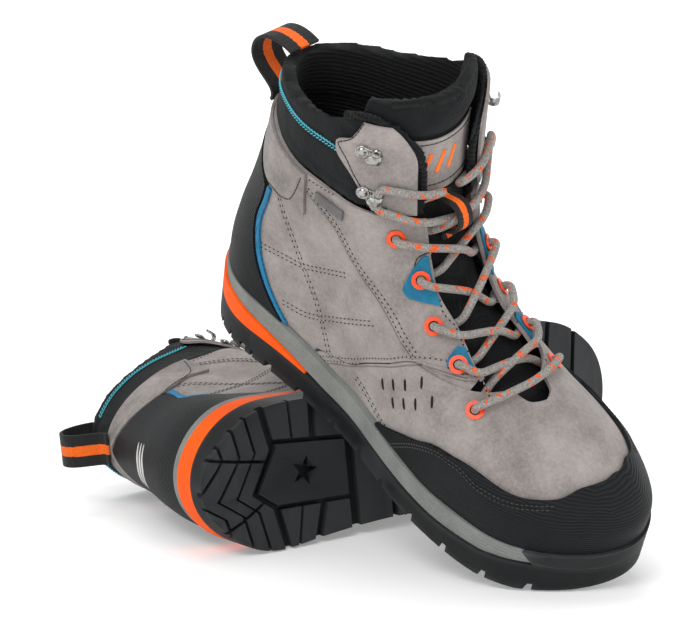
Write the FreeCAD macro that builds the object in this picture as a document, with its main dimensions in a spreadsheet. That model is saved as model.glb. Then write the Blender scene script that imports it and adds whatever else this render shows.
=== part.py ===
import FreeCAD, Part
import math
import os
import Sketcher

Vec = FreeCAD.Vector

doc = FreeCAD.newDocument("HikingBoots")

# ---------------------------------------------------------------- driving sizes
# Boot frame: x from heel to toe, y to the wearer's left, z up from the tread.
# The right boot is the master; the left boot is its mirror image.
SIZES = [
    ("suede", 1.8, "thickness of vamp and quarter suede"),
    ("layer_gap", 0.4, "air left between stacked layers"),
    ("rand_thick", 2.0, "rubber toe rand and heel cap"),
    ("trim_thick", 1.2, "piping and side tag"),
    ("patch_thick", 0.8, "eyelet patch leather"),
    ("panel_thick", 1.5, "hook panel and heel band suede"),
    ("stiffener_out", -2.3, "outer face of heel counter and toe puff"),
    ("stiffener_thick", 1.3, "heel counter and toe puff"),
    ("lining_out", -4.1, "outer face of the padded lining"),
    ("lining_thick", 2.1, "padded lining"),
    ("collar_out", -0.6, "outer face of the padded collar"),
    ("collar_thick", 8.4, "padded collar"),
    ("collar_base", 151.0, "height where the collar starts"),
    ("tongue_out", -8.2, "outer face of the tongue under the lacing"),
    ("tongue_thick", 6.0, "padded tongue"),
    ("tongue_top", 213.0, "height of the tongue's top edge"),
    ("tongue_bulge", 0.5, "how far the tongue's middle stands out"),
    ("midsole_lip", 2.8, "midsole edge beyond the upper"),
    ("outsole_lip", 4.2, "outsole edge beyond the upper"),
    ("inner_inset", 7.0, "footbed edge inside the upper"),
    ("board_thick", 1.8, "insole board"),
    ("footbed_thick", 4.3, "removable footbed"),
    ("shank_width", 16.0, "steel shank"),
    ("shank_thick", 1.6, "steel shank"),
    ("lug_depth", 4.5, "depth of the tread grooves"),
    ("groove_width", 4.0, "width of the tread grooves"),
    ("sipe_width", 1.8, "width of the fine grooves in the heel and the middle lugs"),
    ("eyelet_radius", 4.9, "outer radius of the eyelet flange"),
    ("eyelet_hole", 2.75, "radius of the eyelet hole"),
    ("eyelet_tube", 3.35, "outer radius of the eyelet tube"),
    ("eyelet_flange", 0.8, "thickness of the eyelet flange"),
    ("hook_width", 5.0, "width of the lace hook"),
    ("hook_sheet", 0.9, "sheet thickness of the lace hook"),
    ("hook_height", 6.9, "height of the lace hook over its base"),
    ("hook_reach", 4.4, "reach of the lace hook from its middle"),
    ("rivet_radius", 2.2, "rivet head"),
    ("lace_radius", 2.1, "round lace"),
    ("web_thick", 1.8, "pull loop webbing"),
    ("loop_width", 20.0, "pull loop width"),
    ("keeper_width", 10.0, "lace keeper width"),
    ("keeper_thick", 1.2, "lace keeper webbing"),
    ("right_x", -67.283, "right boot position"),
    ("right_y", 71.956, "right boot position"),
    ("right_z", 142.55, "right boot position"),
    ("right_yaw", -75.228, "right boot turn about Z"),
    ("right_pitch", 29.5569, "right boot nose-down tilt"),
    ("right_roll", 21.06, "right boot roll"),
    ("left_x", -142.679, "left boot position"),
    ("left_y", -9.697, "left boot position"),
    ("left_z", 38.135, "left boot position"),
    ("left_yaw", -0, "left boot turn about Z"),
    ("left_pitch", -4.8747, "left boot nose-down tilt"),
    ("left_roll", -90.6641, "left boot roll"),
]

sheet = doc.addObject("Spreadsheet::Sheet", "Sizes")
for row, (alias, value, note) in enumerate(SIZES, start=1):
    sheet.set("A%d" % row, note)
    sheet.set("B%d" % row, "%.9g" % value)
    sheet.setAlias("B%d" % row, alias)
doc.recompute()


def size(alias):
    return float(getattr(sheet, alias))


# ---------------------------------------------------------------- shape curves
def curve(points):
    """Smooth curve through (station, value) points that never overshoots them."""
    xs = [float(p[0]) for p in points]
    ys = [float(p[1]) for p in points]
    last = len(xs) - 1
    slope = [(ys[i + 1] - ys[i]) / (xs[i + 1] - xs[i]) for i in range(last)]
    tangent = [slope[0]] + [0.0] * (last - 1) + [slope[-1]]
    for i in range(1, last):
        if slope[i - 1] * slope[i] > 0.0:
            tangent[i] = 2.0 * slope[i - 1] * slope[i] / (slope[i - 1] + slope[i])

    def value(x):
        x = min(max(x, xs[0]), xs[-1])
        i = 0
        while i < last - 1 and x > xs[i + 1]:
            i += 1
        h = xs[i + 1] - xs[i]
        t = (x - xs[i]) / h
        a = (2 * t ** 3 - 3 * t ** 2 + 1) * ys[i] + (t ** 3 - 2 * t ** 2 + t) * h * tangent[i]
        b = (3 * t ** 2 - 2 * t ** 3) * ys[i + 1] + (t ** 3 - t ** 2) * h * tangent[i + 1]
        return a + b

    return value


# rear and front limits of the upper against height
BACK = curve([(20, 4), (34, 0), (52, 0), (75, 3), (100, 9), (125, 14), (150, 17), (170, 18), (215, 19)])
FRONT = curve([(20, 284), (32, 291), (46, 292), (58, 286), (69, 270), (76, 246), (83, 222), (90, 204),
               (98, 187), (112, 165), (130, 151), (145, 144), (162, 138), (184, 134), (200, 132), (217, 128)])
# half widths against length, low on the foot and at the shaft
WIDE_LOW = curve([(0, 34), (40, 37), (85, 36), (125, 38), (165, 45), (205, 50.5), (245, 48.5), (275, 44), (303, 38)])
WIDE_HIGH = curve([(0, 32), (40, 38), (75, 41), (105, 41), (150, 36), (303, 34)])
FULLNESS = curve([(20, 0.93), (34, 1.0), (60, 0.985), (100, 0.94), (150, 1.0), (217, 1.04)])
REAR_ROUND = curve([(20, 38), (60, 42), (110, 52), (150, 60), (217, 62)])
NOSE_ROUND = curve([(20, 58), (46, 62), (60, 80), (70, 104), (78, 104), (90, 74), (99, 72), (112, 52),
                    (120, 44), (139, 42), (217, 42)])
MIDDLE = curve([(0, 0), (60, 0), (130, 0.5), (205, -1), (260, -1), (303, 3)])
# where the upper meets the sole
FEATHER = curve([(-10, 41), (30, 40.5), (66, 37.5), (100, 33.5), (150, 28.5), (200, 27.5), (240, 28.5),
                 (265, 31), (310, 37)])
# front edge of the lacing flap, and top edge of the collar, against height or length
FLAP = curve([(83, 213), (87, 202), (93, 188), (103, 171), (110, 160), (134, 144), (157, 136), (172, 133),
              (184, 131), (196, 126), (203, 120), (207, 112)])
RIM = curve([(0, 178), (0.25, 184), (0.42, 196), (0.52, 204), (0.62, 206)])
# seam between vamp and quarter, as length against height
SEAM = curve([(30, 92), (38, 98), (46, 120), (58, 134), (70, 148), (84, 166), (88, 184)])


def clamp(x, low, high):
    return min(max(x, low), high)


def smooth(x):
    x = clamp(x, 0.0, 1.0)
    return x * x * (3.0 - 2.0 * x)


def half_width(x, z, side):
    k = smooth((z - 55.0) / 95.0)
    w = (WIDE_LOW(x) * (1.0 - k) + WIDE_HIGH(x) * k) * FULLNESS(z)
    if side > 0:
        w *= 1.0 - 0.2 * clamp((z - 40.0) / 30.0, 0.0, 1.0) * clamp((x - 150.0) / 60.0, 0.0, 1.0)
        # the inner flap stands open a little
        splay = smooth((z - 100.0) / 90.0)
        w *= 1.0 + 0.20 * splay * smooth((x - 60.0) / 70.0)
    rear = clamp((x - BACK(z)) / REAR_ROUND(z), 0.0, 1.0)
    nose = clamp((FRONT(z) - x) / NOSE_ROUND(z), 0.0, 1.0)
    return w * math.sqrt(1.0 - (1.0 - rear) ** 2) * math.sqrt(1.0 - (1.0 - nose) ** 2)


def station(x, z):
    """Share of the way from the heel (0) to the front ridge (1) at one height."""
    share = (x - BACK(z)) / (FRONT(z) - BACK(z))
    return math.acos(clamp(1.0 - 2.0 * share, -1.0, 1.0)) / math.pi


def skin(t, z):
    """Point on the upper. t runs from the heel (0) round the inner side to the toe (1) and
    on round the outer side (2); negative t starts from the heel round the outer side."""
    t = t % 2.0
    side = 1 if t <= 1.0 else -1
    s = t if t <= 1.0 else 2.0 - t
    x = BACK(z) + (FRONT(z) - BACK(z)) * (1.0 - math.cos(math.pi * s)) / 2.0
    return Vec(x, MIDDLE(x) + side * half_width(x, z, side), z)


def outward(t, z):
    """Unit normal of the upper, pointing away from the foot."""
    dt, dz = 0.004, 0.4
    along = skin(t + dt, z) - skin(t - dt, z)
    up = skin(t, z + dz) - skin(t, z - dz)
    n = up.cross(along)
    n.normalize()
    return n


def at(t, z, off):
    return skin(t, z) + outward(t, z) * off


def spot(side, x, z, off):
    s = station(x, z)
    return at(s if side > 0 else 2.0 - s, z, off)


# ---------------------------------------------------------------- shape makers
def basis(knots, i, degree, t):
    if degree == 0:
        inside = knots[i] <= t < knots[i + 1]
        at_end = t == knots[-1] and knots[i] < knots[i + 1] == knots[-1]
        return 1.0 if inside or at_end else 0.0
    total = 0.0
    if knots[i + degree] > knots[i]:
        total += (t - knots[i]) / (knots[i + degree] - knots[i]) * basis(knots, i, degree - 1, t)
    if knots[i + degree + 1] > knots[i + 1]:
        total += ((knots[i + degree + 1] - t) / (knots[i + degree + 1] - knots[i + 1])
                  * basis(knots, i + 1, degree - 1, t))
    return total


def knot_line(n):
    """Cubic knots for n + 1 points at 0, 1, .. n, with none at the second and last but one."""
    return [0.0] * 4 + [float(k) for k in range(2, n - 1)] + [float(n)] * 4


SOLVERS = {}


def solver(n):
    """Inverse of the interpolation matrix for n + 1 evenly spaced points."""
    if n not in SOLVERS:
        knots = knot_line(n)
        rows = [[basis(knots, j, 3, float(i)) for j in range(n + 1)]
                + [1.0 if i == j else 0.0 for j in range(n + 1)] for i in range(n + 1)]
        for c in range(n + 1):
            best = max(range(c, n + 1), key=lambda r: abs(rows[r][c]))
            rows[c], rows[best] = rows[best], rows[c]
            scale = rows[c][c]
            rows[c] = [v / scale for v in rows[c]]
            for r in range(n + 1):
                if r != c and rows[r][c] != 0.0:
                    f = rows[r][c]
                    rows[r] = [v - f * w for v, w in zip(rows[r], rows[c])]
        SOLVERS[n] = [row[n + 1:] for row in rows]
    return SOLVERS[n]


def spline_face(grid):
    """Smooth surface through a grid of points, even in both parameters."""
    nu, nv = len(grid) - 1, len(grid[0]) - 1
    inv_u, inv_v = solver(nu), solver(nv)
    half = [[sum((grid[k][j] * inv_u[i][k] for k in range(nu + 1)), Vec()) for j in range(nv + 1)]
            for i in range(nu + 1)]
    poles = [[sum((half[i][k] * inv_v[j][k] for k in range(nv + 1)), Vec()) for j in range(nv + 1)]
             for i in range(nu + 1)]
    ends_u = [0.0] + [float(k) for k in range(2, nu - 1)] + [float(nu)]
    ends_v = [0.0] + [float(k) for k in range(2, nv - 1)] + [float(nv)]
    surface = Part.BSplineSurface()
    surface.buildFromPolesMultsKnots(poles, [4] + [1] * (len(ends_u) - 2) + [4],
                                     [4] + [1] * (len(ends_v) - 2) + [4], ends_u, ends_v, False, False, 3, 3)
    return surface


def thick_patch(where, nu, nv, outer, inner):
    """Solid between two offsets of the region that where(u, v) walks over.
    outer and inner are numbers or functions of (u, v)."""
    def grid(off):
        rows = []
        for i in range(nu + 1):
            u = i / nu
            row = []
            for j in range(nv + 1):
                v = j / nv
                t, z = where(u, v)
                row.append(at(t, z, off(u, v) if callable(off) else off))
            rows.append(row)
        return rows

    top = spline_face(grid(outer))
    low = spline_face(grid(inner))
    faces = [top.toShape(), low.toShape()]
    u0, u1, v0, v1 = top.bounds()
    p0, p1, q0, q1 = low.bounds()
    for a, b in ((top.uIso(u0), low.uIso(p0)), (top.uIso(u1), low.uIso(p1)),
                 (top.vIso(v0), low.vIso(q0)), (top.vIso(v1), low.vIso(q1))):
        faces.append(Part.makeRuledSurface(a.toShape(), b.toShape()))
    shell = Part.makeShell(faces)
    shell.sewShape()
    solid = Part.makeSolid(shell)
    if solid.Volume < 0:
        solid.reverse()
    return solid


def feature(label, shape):
    obj = doc.addObject("Part::Feature", label)
    obj.Label = label
    obj.Shape = shape
    obj.Placement = FreeCAD.Placement()
    return obj


def origin_plane(body, role):
    for item in body.Origin.OriginFeatures:
        if item.Role == role:
            return item
    raise ValueError(role)


def sketch_body(label, role, edges, length, symmetric):
    """PartDesign body padded from a sketch on one of its own origin planes."""
    body = doc.addObject("PartDesign::Body", label)
    body.Label = label
    sketch = body.newObject("Sketcher::SketchObject", label + "_outline")
    sketch.AttachmentSupport = [(origin_plane(body, role), "")]
    sketch.MapMode = "FlatFace"
    for edge in edges:
        sketch.addGeometry(edge, False)
    pad = body.newObject("PartDesign::Pad", label + "_pad")
    pad.Profile = sketch
    pad.Midplane = symmetric
    if isinstance(length, str):
        pad.setExpression("Length", "Sizes." + length)
    else:
        pad.Length = length
    return body


def closed_lines(points):
    vs = [Vec(a, b, 0) for a, b in points]
    return [Part.LineSegment(vs[i], vs[(i + 1) % len(vs)]) for i in range(len(vs))]


def closed_spline(points):
    c = Part.BSplineCurve()
    c.interpolate(Points=[Vec(a, b, 0) for a, b in points], PeriodicFlag=True)
    return [c]


def plan_outline(z, off, count):
    """Plan view of the upper at one height, grown sideways by off."""
    out = []
    for i in range(count):
        t = 2.0 * i / count
        p = skin(t, z)
        n = outward(t, z)
        flat = Vec(n.x, n.y, 0)
        flat.normalize()
        q = p + flat * off
        out.append((q.x, q.y))
    return out


def plan_body(label, off, height, count=34):
    return sketch_body(label, "XY_Plane", closed_spline(plan_outline(34.0, off, count)), height, False)


def side_body(label, points, width):
    return sketch_body(label, "XZ_Plane", closed_lines(points), width, True)


def common(label, first, second):
    obj = doc.addObject("Part::MultiCommon", label)
    obj.Label = label
    obj.Shapes = [first, second]
    return obj


def cut(label, base, tool):
    obj = doc.addObject("Part::Cut", label)
    obj.Label = label
    obj.Base = base
    obj.Tool = tool
    return obj


def trace(line, stations, lift=0.0):
    return [(x, line(x) + lift) for x in stations]


MASTERS = {}


def master(name, obj):
    MASTERS[name] = obj


# ---------------------------------------------------------------- sole
TREAD = curve([(-12, 14), (-4, 9), (4, 3), (14, 0), (240, 0), (262, 2.5), (285, 8.5), (312, 18)])
OUTSOLE_TOP = curve([(-12, 21), (30, 18), (92, 18), (150, 14.5), (205, 14), (240, 17), (268, 23), (312, 24)])
STATIONS = [-12, 10, 30, 50, 66, 80, 100, 125, 150, 175, 200, 220, 240, 255]
GAP = size("layer_gap")
WIDE = 140.0

plan_wide = plan_body("plan_outsole", size("outsole_lip"), 60.0)
plan_mid = plan_body("plan_midsole", size("midsole_lip"), 60.0)
plan_in = plan_body("plan_footbed", -size("inner_inset"), 60.0)

tread_line = [(-12, TREAD(-12)), (-4, TREAD(-4)), (4, TREAD(4)), (14, 0), (240, 0), (262, TREAD(262)),
              (285, TREAD(285)), (312, TREAD(312))]
top_line = trace(OUTSOLE_TOP, [312, 290, 268, 240, 205, 150, 92, 30, -12])
outsole_side = side_body("outsole_side", tread_line + top_line, WIDE)
outsole_block = common("outsole_block", plan_wide, outsole_side)

# wedge: below the midsole at the heel, running out at the waist
wedge_side = side_body("wedge_side", trace(OUTSOLE_TOP, [-12, 30, 60, 92], 0.3)
                       + [(92, 19.4), (60, 25.5), (30, 31.5), (-12, 35.0)], WIDE)
master("heel_wedge", common("heel_wedge", plan_wide, wedge_side))

midsole_side = side_body("midsole_side", [(-12, 35.3), (30, 31.8), (60, 25.8), (92, 19.7)]
                         + trace(OUTSOLE_TOP, [105, 150, 205, 240, 266], 0.3)
                         + [(260, FEATHER(260))] + trace(FEATHER, STATIONS[::-1]), WIDE)
midsole_block = common("midsole_block", plan_mid, midsole_side)

SHANK_STATIONS = [45, 66, 85, 100, 125, 145]
shank_t = size("shank_thick")


def strip(line, stations, low, high):
    return trace(line, stations, low) + trace(line, stations[::-1], high)


shank_side = side_body("shank", strip(FEATHER, SHANK_STATIONS, -shank_t - 0.4, -0.4), "shank_width")
master("shank", shank_side)
pocket = side_body("shank_pocket", [(44.5, FEATHER(44.5) - shank_t - 0.8)]
                   + trace(FEATHER, SHANK_STATIONS[1:-1], -shank_t - 0.8)
                   + [(145.5, FEATHER(145.5) - shank_t - 0.8), (145.5, 45), (44.5, 45)],
                   size("shank_width") + 0.8)
master("midsole", cut("midsole", midsole_block, pocket))

bumper_side = side_body("bumper_side", [(266.6, OUTSOLE_TOP(266.6) + 0.3), (290, OUTSOLE_TOP(290) + 0.3),
                                        (312, OUTSOLE_TOP(312) + 0.3)]
                        + trace(FEATHER, [312, 285, 261]), WIDE)
master("toe_bumper", common("toe_bumper", plan_wide, bumper_side))

INNER = [-2, 30, 50, 66, 80, 100, 125, 150, 175, 200, 220, 240, 265, 300]
board_side = side_body("board_side", strip(FEATHER, INNER, GAP, GAP + size("board_thick")), WIDE)
master("insole_board", common("insole_board", plan_in, board_side))
bed_low = 2 * GAP + size("board_thick")
bed_side = side_body("bed_side", strip(FEATHER, INNER, bed_low, bed_low + size("footbed_thick")), WIDE)
master("footbed", common("footbed", plan_in, bed_side))

# tread grooves: footprints cut up from the tread to one depth
lug = size("lug_depth")
groove = size("groove_width")


def bar(x0, y0, x1, y1, width):
    """Footprint of a straight groove as four corners."""
    d = Vec(x1 - x0, y1 - y0, 0)
    d.normalize()
    n = Vec(-d.y, d.x, 0) * (width / 2.0)
    return [(x0 + n.x, y0 + n.y), (x1 + n.x, y1 + n.y), (x1 - n.x, y1 - n.y), (x0 - n.x, y0 - n.y)]


def chevron(x, dx, reach, width):
    """Arrow groove across the sole, its point forward by dx."""
    w = width / 2.0
    return [(x - w, -reach), (x + dx - w, 0), (x - w, reach), (x + w, reach), (x + dx + w, 0), (x + w, -reach)]


def zigzag(x, width):
    """Heel groove across the sole, with its middle point set back between two forward ones."""
    w = width / 2.0
    line = [(x - 8.5, 60), (x - 4.5, 37), (x, 16.5), (x - 14, -6.5), (x - 1, -17), (x + 4.5, -41), (x + 9, -60)]
    return [(a - w, b) for a, b in line] + [(a + w, b) for a, b in line[::-1]]


def star(x, y, outer, inner):
    """Five-pointed recess in the middle lug."""
    points = []
    for k in range(10):
        a = math.pi * k / 5.0
        r = inner if k % 2 else outer
        points.append((x + r * math.cos(a), y + r * math.sin(a)))
    return points


sipe = size("sipe_width")
FOOTPRINTS = [
    zigzag(7, sipe),
    zigzag(17, sipe),
    zigzag(27, sipe),
    zigzag(38.5, groove * 1.2),
    bar(-20, 22, 34, 10.5, sipe),
    bar(-12, -33, 30, -12, sipe),
    bar(39, 20.5, 90, 13, groove * 0.7),
    bar(39, -17, 90, -22, groove * 0.7),
    bar(52, 19, 51, 60, sipe),
    bar(66, 17, 68, 60, groove * 1.3),
    bar(55, -19, 47, -60, sipe),
    bar(70, -20, 58, -60, groove * 1.3),
    star(58, 0, 9, 3.6),
    bar(90, -60, 90, 60, groove * 1.6),
    bar(118, -60, 118, 60, groove),
    bar(143, -60, 143, 60, groove * 1.5),
    chevron(168, -14, 60, groove),
    chevron(194, -14, 60, groove),
    chevron(220, -14, 60, groove),
    chevron(246, -12, 60, groove),
    chevron(270, -10, 60, groove),
]
grooves = []
for i, points in enumerate(FOOTPRINTS):
    grooves.append(sketch_body("groove_%02d" % (i + 1), "XY_Plane", closed_lines(points), 40.0, True))
groove_set = doc.addObject("Part::MultiFuse", "groove_set")
groove_set.Shapes = grooves
lug_side = side_body("lug_side", [(-14, -8), (314, -8)]
                     + [(x, z + lug) for x, z in tread_line[::-1]], WIDE)
groove_cut = common("groove_cut", groove_set, lug_side)
master("outsole", cut("outsole", outsole_block, groove_cut))


# ---------------------------------------------------------------- upper
def sole_line(limit, lift, toe=False):
    """Lower edge of a patch, lift above the sole's top edge, against the share a."""
    def low(a):
        s = 1.0 - a * (1.0 - limit(38.0)) if toe else a * limit(38.0)
        return FEATHER(skin(s, 38.0).x) + lift
    return low


def around_heel(limit, low, high, rows=None):
    """Region round the heel. limit(z) is the station at both ends, low(a) and high(a) are
    heights against the share a of the way from the heel to that end."""
    def where(u, v):
        a = 2.0 * u - 1.0
        z0, z1 = low(abs(a)), high(abs(a))
        z = z0 + (z1 - z0) * (rows(v) if rows else v)
        return a * limit(z), z
    return where


def around_toe(limit, low, high):
    def where(u, v):
        a = 2.0 * u - 1.0
        z0, z1 = low(abs(a)), high(abs(a))
        z = z0 + (z1 - z0) * v
        return 1.0 + a * (1.0 - limit(z)), z
    return where


def quarter_front(z):
    if z < 84.0:
        return station(SEAM(z) - 1.2, z)
    x = SEAM(84.0) - 1.2
    return station(x + (FLAP(max(z, 88.5)) - x) * smooth((z - 84.0) / 4.5), z)


def vamp_rear(z):
    return station(SEAM(z), z)


suede = size("suede")
LIFT = 0.9
# grid rows crowd together where the seam turns into the lacing flap
QUARTER_ROWS = curve([(0, 0), (0.3, 0.375), (0.72, 0.47), (1, 1)])
quarter_patch = thick_patch(around_heel(quarter_front, sole_line(quarter_front, LIFT), lambda a: 150.0, QUARTER_ROWS),
                            40, 28, 0.0, -suede)
VAMP_TOP = curve([(0, 82.4), (0.16, 82.9), (0.3, 85.9), (0.62, 84.4), (1, 83.0)])
vamp_patch = thick_patch(around_toe(vamp_rear, sole_line(vamp_rear, LIFT, True), VAMP_TOP), 44, 16, 0.0, -suede)

EYELETS = [(205, 79), (184.5, 91), (163, 101), (147, 120), (131, 139)]
PATCHED = (1, 3)


def eyelet_base(i):
    return GAP + size("patch_thick") + 0.35 if i in PATCHED else 0.35


def frame_at(side, x, z, off):
    """Placement with z outward and x towards the lacing throat."""
    s = station(x, z)
    t = s if side > 0 else 2.0 - s
    n = outward(t, z)
    ahead = skin(t + 0.004 * side, z) - skin(t - 0.004 * side, z)
    ahead = ahead - n * ahead.dot(n)
    ahead.normalize()
    third = n.cross(ahead)
    m = FreeCAD.Matrix(ahead.x, third.x, n.x, 0, ahead.y, third.y, n.y, 0, ahead.z, third.z, n.z, 0, 0, 0, 0, 1)
    return FreeCAD.Placement(at(t, z, off), FreeCAD.Placement(m).Rotation)


def placed(shape, where):
    c = shape.copy()
    c.Placement = where.multiply(shape.Placement)
    return c


SIDES = (-1, 1)
drill = Part.makeCylinder(size("eyelet_tube") + 0.3, 12, Vec(0, 0, -6))
drills = [placed(drill, frame_at(side, x, z, 0)) for side in SIDES for x, z in EYELETS]
quarter_raw = feature("quarter_raw", quarter_patch)
vamp_raw = feature("vamp_raw", vamp_patch)
rear_drills = feature("rear_drills", Part.makeCompound([d for i, d in enumerate(drills) if i % 5]))
front_drills = feature("front_drills", Part.makeCompound([d for i, d in enumerate(drills) if i % 5 == 0]))
master("quarter", cut("quarter", quarter_raw, rear_drills))
master("vamp", cut("vamp", vamp_raw, front_drills))

rand_t = size("rand_thick")
RAND_TOP = curve([(0, 68), (0.22, 66), (0.36, 61), (0.51, 58), (0.65, 61), (0.75, 59), (0.87, 47), (0.94, 38), (1, 31)])
RAND_REAR = 0.512
master("toe_rand", feature("toe_rand", thick_patch(
    around_toe(lambda z: RAND_REAR, sole_line(lambda z: RAND_REAR, LIFT, True), RAND_TOP), 40, 7, GAP + rand_t, GAP)))

CAP_EDGE = curve([(38, 68), (46, 58), (58, 48), (74, 40), (91, 36), (105, 39), (116, 41), (145, 44)])
CAP_TOP = curve([(0, 140), (0.5, 127), (1, 115)])


def cap_front(z):
    return station(CAP_EDGE(z), z)


master("heel_cap", feature("heel_cap", thick_patch(
    around_heel(cap_front, sole_line(cap_front, LIFT), CAP_TOP), 24, 12, GAP + rand_t, GAP)))


def side_strip(side, near, far, z0, z1):
    """Region on one side between two lengths given against height."""
    def where(u, v):
        z = z0 + (z1 - z0) * v
        x = near(z) + (far(z) - near(z)) * u
        s = station(x, z)
        return (s if side > 0 else 2.0 - s), z
    return where


def both_sides(near, far, z0, z1, nu, nv, outer, inner):
    return Part.makeCompound([thick_patch(side_strip(side, near, far, z0, z1), nu, nv, outer, inner)
                              for side in SIDES])


trim = size("trim_thick")
master("heel_piping", feature("heel_piping", both_sides(
    lambda z: CAP_EDGE(z) + 1.1, lambda z: CAP_EDGE(z) + 4.6, 38.6, 115.0, 3, 14, GAP + trim, GAP)))

panel = size("panel_thick")
BAND_LOW = curve([(0, 143), (0.31, 131), (0.62, 119), (0.72, 118.5), (0.85, 122), (1, 122)])
master("heel_band", feature("heel_band", thick_patch(around_heel(
    lambda z: station(76, z), BAND_LOW, lambda a: 149.6), 24, 5, GAP + panel, GAP)))

patch_t = size("patch_thick")
UPPER_PATCH = (curve([(109, 147), (112, 141.6), (122, 141.8), (132, 143.0)]), 109.5, 131.5)
LOWER_PATCH = (curve([(88, 184), (90, 179.8), (93, 178.2), (97, 177.8)]), 89.5, 96.5)
patches = []
for near, z0, z1 in (UPPER_PATCH, LOWER_PATCH):
    for side in SIDES:
        patches.append(thick_patch(side_strip(side, near, lambda z: FLAP(z) - 0.8, z0, z1), 6, 6,
                                   GAP + patch_t, GAP))
patches_raw = feature("patches_raw", Part.makeCompound(patches))
patch_drills = feature("patch_drills", Part.makeCompound([d.copy() for d in drills]))
master("eyelet_patches", cut("eyelet_patches", patches_raw, patch_drills))

# eyelet: a tube through the suede under a flat flange
flange = Part.makeCylinder(size("eyelet_radius"), size("eyelet_flange"), Vec(0, 0, 0))


def eyelet_shape(base):
    tube = Part.makeCylinder(size("eyelet_tube"), base + suede + 0.1, Vec(0, 0, -base - suede - 0.1))
    hole = Part.makeCylinder(size("eyelet_hole"), 20, Vec(0, 0, -10))
    return flange.fuse(tube).cut(hole).removeSplitter()


rings = []
for side in SIDES:
    for i, (x, z) in enumerate(EYELETS):
        base = eyelet_base(i)
        rings.append(placed(eyelet_shape(base), frame_at(side, x, z, base)))
master("eyelets", feature("eyelets", Part.makeCompound(rings)))

collar_out = size("collar_out")
collar_in = collar_out - size("collar_thick")
collar_base = size("collar_base")


def collar_limit(z):
    return station(FLAP(z), z)


def collar_back(u, v):
    """Inner face: full padding round the ankle, thin under the hook panels."""
    a = abs(2.0 * u - 1.0)
    return collar_in + (size("collar_thick") - 2.0) * smooth((a - 0.42) / 0.26)


master("collar", feature("collar", thick_patch(around_heel(
    collar_limit, lambda a: collar_base, lambda a: RIM(a * 0.62)), 36, 8, collar_out, collar_back)))

PANEL_REAR = curve([(153, 118), (169, 106), (182, 94.5), (186, 95), (190, 101.5), (198, 105.5), (203, 107)])
master("hook_panels", feature("hook_panels", both_sides(
    PANEL_REAR, lambda z: FLAP(z) - 3.0, 153.0, 202.0, 8, 16, GAP + panel, GAP)))

stiff_out = size("stiffener_out")
stiff_in = stiff_out - size("stiffener_thick")
master("heel_counter", feature("heel_counter", thick_patch(around_heel(
    lambda z: station(70, z), lambda a: 42.0, lambda a: 95.0 - 18.0 * a * a), 20, 8, stiff_out, stiff_in)))
master("toe_puff", feature("toe_puff", thick_patch(around_toe(
    lambda z: 0.76, sole_line(lambda z: 0.76, 1.2, True), curve([(0, 66), (1, 56)])), 22, 8, stiff_out, stiff_in)))

line_out = size("lining_out")
line_in = line_out - size("lining_thick")


def lining_front(z):
    x = 148.0 if z < 80.0 else 148.0 * (1 - smooth((z - 80.0) / 24.0)) + (FLAP(z) - 26.0) * smooth((z - 80.0) / 24.0)
    return station(x, z)


master("lining", feature("lining", thick_patch(around_heel(
    lining_front, sole_line(lining_front, 2.6), lambda a: 149.5), 30, 16, line_out, line_in)))
master("vamp_lining", feature("vamp_lining", thick_patch(around_toe(
    lambda z: station(153.0, z), sole_line(lambda z: station(153.0, z), 2.6, True), lambda a: 78.0 - 5.5 * smooth(a / 0.3)), 30, 10, line_out, line_in)))

# tongue: rooted under the vamp, standing out a little between the flaps
tongue_out = size("tongue_out")
tongue_t = size("tongue_thick")
tongue_top = size("tongue_top")
TONGUE_SIDE = curve([(80, 0.80), (90, 0.72), (110, 0.66), (140, 0.62), (170, 0.62), (217, 0.70)])


def tongue_where(u, v):
    a = 2.0 * u - 1.0
    z = 79.0 + (tongue_top - 2.0 * a * a - 79.0) * v
    return 1.0 + a * (1.0 - TONGUE_SIDE(z)), z


def tongue_face(u, v):
    a = abs(2.0 * u - 1.0)
    z = 79.0 + (tongue_top - 79.0) * v
    rise = size("tongue_bulge") * smooth(1.15 - a * 1.6) * smooth((z - 84.0) / 14.0)
    return tongue_out + rise + 3.5 * smooth((z - 186.0) / 20.0)


def tongue_back(u, v):
    return tongue_face(u, v) - tongue_t * (0.6 + 0.4 * smooth(v * 4.0))


master("tongue", feature("tongue", thick_patch(tongue_where, 16, 18, tongue_face, tongue_back)))


def tongue_patch_where(u, v):
    a = 2.0 * u - 1.0
    z = 161.0 + 29.0 * v
    return 1.0 + a * (0.235 if a > 0.0 else 0.19), z


def tongue_offset(t, z):
    a = abs(t - 1.0) / (1.0 - TONGUE_SIDE(z))
    return tongue_face((1.0 + a) / 2.0, (z - 79.0) / (tongue_top - 79.0))


def patch_off(lift):
    def off(u, v):
        t, z = tongue_patch_where(u, v)
        return tongue_offset(t, z) + lift
    return off


master("tongue_patch", feature("tongue_patch", thick_patch(tongue_patch_where, 10, 8, patch_off(0.5 + 1.1),
                                                           patch_off(0.5))))


# ---------------------------------------------------------------- webbing
def ridge(z, off):
    """Point on the tongue's centre line at a height, moved off along its outward normal."""
    p = at(1.0, z, off)
    return (p.x, p.z)


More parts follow.
